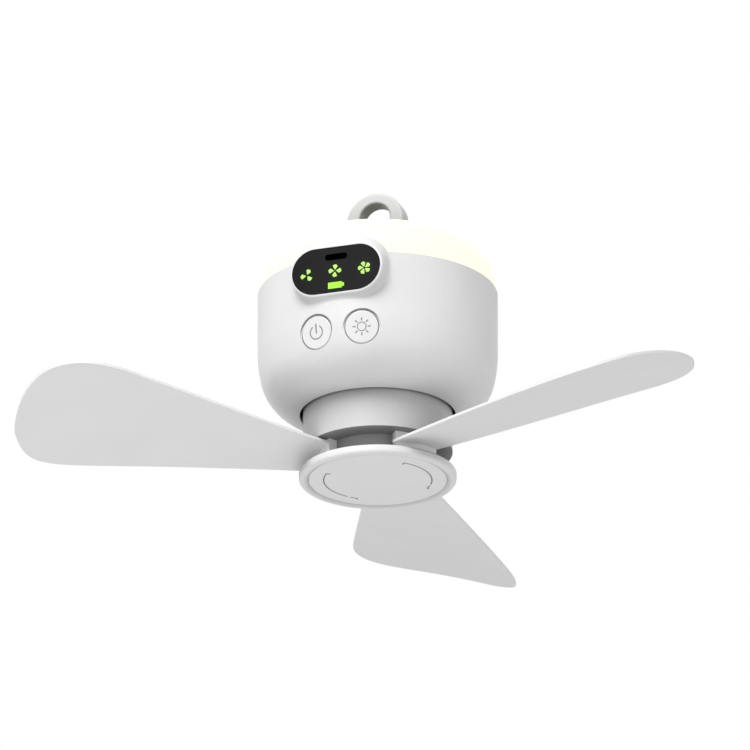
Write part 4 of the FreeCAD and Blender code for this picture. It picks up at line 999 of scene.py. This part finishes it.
def onto_button(piece, swing):
    """Stands a symbol up on a button's face."""
    heading = -math.pi / 2 + swing
    piece.rotation_euler = (math.pi / 2 + BUTTON_LEAN, 0, swing)
    piece.location = (BUTTON_REACH * math.cos(heading), BUTTON_REACH * math.sin(heading), BUTTON_Z)


class FAN_OT_power_symbol(bpy.types.Operator):
    """The power symbol: a ring open at the top and a bar in the opening"""

    bl_idname = "hanging_fan.power_symbol"
    bl_label = "Power Symbol"

    def execute(self, context):
        sizes = looks().sizes
        opening = math.radians(32)
        upright = math.pi / 2
        ring = arc(
            "power_ring",
            sizes.ring_radius,
            sizes.mark_width,
            upright + opening,
            upright + math.tau - opening,
        )
        stem_length, stem_middle = 4.3 * MM, (1.55 * MM, 0)
        stem = bar("power_stem", stem_length, sizes.mark_width * 1.15, stem_middle, upright)
        symbol = joined("power_symbol", [ring, stem])
        onto_button(symbol, -BUTTON_SWING)
        settle(symbol, mark_finish(), "power_button_body")
        return {"FINISHED"}


class FAN_OT_lamp_symbol(bpy.types.Operator):
    """The lamp symbol: a thin circle with eight short rays"""

    bl_idname = "hanging_fan.lamp_symbol"
    bl_label = "Lamp Symbol"

    def execute(self, context):
        sizes = looks().sizes
        parts = [arc("lamp_circle", sizes.sun_radius, sizes.mark_width * 0.7, 0, math.tau)]
        rays, ray_length, ray_middle = 8, 1.35 * MM, (3.2 * MM, 0)
        for number in range(rays):
            turn = number * math.tau / rays
            parts.append(bar("lamp_ray", ray_length, sizes.mark_width, ray_middle, turn))
        symbol = joined("lamp_symbol", parts)
        onto_button(symbol, BUTTON_SWING)
        settle(symbol, mark_finish(), "light_button_body")
        return {"FINISHED"}


class FAN_OT_cap_arrows(bpy.types.Operator):
    """Two curved arrows that show which way the cap turns"""

    bl_idname = "hanging_fan.cap_arrows"
    bl_label = "Cap Arrows"

    def execute(self, context):
        sizes = looks().sizes
        radius, width = sizes.arrow_radius, sizes.arrow_width
        barb_length, barb_middle = 2.0 * MM, (radius - 0.9 * MM, 0)
        stop_gap, stop_reach = math.radians(3.5), math.radians(12)
        end_length, end_middle = 1.2 * MM, (radius + 0.4 * MM, 0)
        parts = []
        for tail, head in ARROW_SPANS:
            start, end = -math.radians(tail), -math.radians(head)
            onward = math.copysign(1, end - start)
            parts.append(arc("arrow_line", radius, width, start, end, steps=36))
            parts.append(bar("arrow_barb", barb_length, width * 1.3, barb_middle, end))
            near_end = start - onward * stop_gap
            far_end = start - onward * stop_reach
            parts.append(arc("arrow_stop", radius, width, near_end, far_end, steps=8))
            parts.append(bar("arrow_stop_end", end_length, width, end_middle, far_end))
        # The face looks down, so every angle above is negated and the piece is turned over
        arrows = joined("cap_arrows", parts)
        arrows.rotation_euler = (math.pi, 0, 0)
        apply_place(arrows)
        arrows.location = (0, 0, DISC_FACE)
        settle(arrows, arrow_finish(), "cap")
        return {"FINISHED"}


def white_world():
    """A world that looks white to the camera and to reflections, and gives a plain soft light."""
    world = bpy.data.worlds.new("White studio")
    world.use_nodes = True
    tree = world.node_tree
    tree.nodes.clear()
    path = tree.nodes.new("ShaderNodeLightPath")
    seen = sum_of(tree, "ADD", path.outputs["Is Camera Ray"], path.outputs["Is Glossy Ray"])
    seen = sum_of(tree, "ADD", seen, path.outputs["Is Transmission Ray"])
    white = (1, 1, 1, 1)
    soft = node(tree, "ShaderNodeBackground", values={"Color": white, "Strength": WORLD_LIGHT})
    plain = node(tree, "ShaderNodeBackground", values={"Color": white, "Strength": 1.0})
    either = node(
        tree,
        "ShaderNodeMixShader",
        {0: sum_of(tree, "MINIMUM", seen, 1.0), 1: soft.outputs[0], 2: plain.outputs[0]},
    )
    node(tree, "ShaderNodeOutputWorld", {"Surface": either.outputs[0]})
    bpy.context.scene.world = world


def floor_finish():
    """Pale floor that keeps a soft shadow from above and is clear from below."""
    material, tree, shader = new_material("Pale floor")
    shader.inputs["Base Color"].default_value = (0.86, 0.86, 0.86, 1)
    shader.inputs["Roughness"].default_value = 0.9
    shader.inputs["Emission Color"].default_value = (1, 1, 1, 1)
    path = tree.nodes.new("ShaderNodeLightPath")
    side = tree.nodes.new("ShaderNodeNewGeometry")
    lift = sum_of(tree, "MULTIPLY", path.outputs["Is Camera Ray"], 0.35)
    tree.links.new(lift, shader.inputs["Emission Strength"])
    clear = tree.nodes.new("ShaderNodeBsdfTransparent")
    either = node(
        tree,
        "ShaderNodeMixShader",
        {0: side.outputs["Backfacing"], 1: shader.outputs[0], 2: clear.outputs[0]},
    )
    tree.links.new(either.outputs[0], tree.nodes["Material Output"].inputs["Surface"])
    return material


def soft_lamp(name, size, energy, heading, height, distance):
    """A round soft lamp that faces the fan, at an angle about it and a height angle."""
    deselect()
    low, high = CAD_BOX
    middle = (low + high) / 2
    reach = Vector(
        (
            math.sin(heading) * math.cos(height),
            -math.cos(heading) * math.cos(height),
            math.sin(height),
        )
    )
    bpy.ops.object.light_add(type="AREA", location=middle + reach * distance)
    lamp = bpy.context.active_object
    lamp.name = name
    lamp.data.shape = "DISK"
    lamp.data.size = size
    lamp.data.energy = energy
    lamp.rotation_euler = (-reach).to_track_quat("-Z", "Y").to_euler()
    lamp.visible_camera = False


class FAN_OT_stage(bpy.types.Operator):
    """Pale floor, soft lamps, white world and the camera"""

    bl_idname = "hanging_fan.stage"
    bl_label = "Studio"

    def execute(self, context):
        stage = looks().stage
        white_world()
        deselect()
        floor_height = CAD_BOX[0].z - stage.floor_gap
        bpy.ops.mesh.primitive_plane_add(size=FLOOR_SIZE, location=(0, 0, floor_height))
        floor = newest("studio_floor")
        apply_place(floor)
        floor.data.materials.append(floor_finish())
        for name, size, watts, heading, height, distance in LAMPS:
            soft_lamp(name, size, watts, math.radians(heading), math.radians(height), distance)
        azimuth, elevation = stage.azimuth, stage.elevation
        right = Vector((math.cos(azimuth), math.sin(azimuth), 0))
        look = Vector(
            (
                -math.sin(azimuth) * math.cos(elevation),
                math.cos(azimuth) * math.cos(elevation),
                -math.sin(elevation),
            )
        )
        target = Vector((0, 0, AIM_HEIGHT)) - right * stage.side_shift
        bpy.ops.object.camera_add(location=target - look * stage.distance)
        camera = bpy.context.active_object
        camera.name = "photo_camera"
        camera.rotation_euler = look.to_track_quat("-Z", "Y").to_euler()
        camera.data.lens = LENS
        camera.data.sensor_width = SENSOR_WIDTH
        camera.data.clip_start = 0.1
        camera.data.clip_end = 100
        context.scene.camera = camera
        context.scene.view_settings.view_transform = "Standard"
        return {"FINISHED"}


class FAN_PT_panel(bpy.types.Panel):
    """Lists the steps that dress the fan"""

    bl_idname = "FAN_PT_panel"
    bl_label = "Hanging Fan"
    bl_space_type = "VIEW_3D"
    bl_region_type = "UI"
    bl_category = "Hanging Fan"

    def draw(self, context):
        for step in STEPS:
            self.layout.operator(step.bl_idname)
        for group in (looks().colours, looks().sizes, looks().stage):
            box = self.layout.box()
            for name in group.__annotations__:
                box.prop(group, name)


STEPS = (
    FAN_OT_finishes,
    FAN_OT_speed_icons,
    FAN_OT_battery_icon,
    FAN_OT_receiver_lens,
    FAN_OT_power_symbol,
    FAN_OT_lamp_symbol,
    FAN_OT_cap_arrows,
    FAN_OT_stage,
)
CLASSES = (FanColours, FanSizes, FanStage, FanLooks, *STEPS, FAN_PT_panel)


def register():
    """Adds the classes and the scene's settings."""
    for each in CLASSES:
        bpy.utils.register_class(each)
    bpy.types.Scene.hanging_fan = PointerProperty(type=FanLooks)


def unregister():
    """Takes the settings and the classes away again."""
    del bpy.types.Scene.hanging_fan
    for each in reversed(CLASSES):
        bpy.utils.unregister_class(each)


def main():
    register()
    bpy.ops.hanging_fan.finishes()
    bpy.ops.hanging_fan.speed_icons()
    bpy.ops.hanging_fan.battery_icon()
    bpy.ops.hanging_fan.receiver_lens()
    bpy.ops.hanging_fan.power_symbol()
    bpy.ops.hanging_fan.lamp_symbol()
    bpy.ops.hanging_fan.cap_arrows()
    bpy.ops.hanging_fan.stage()
    bpy.context.view_layer.update()


if __name__ == "__main__":
    main()
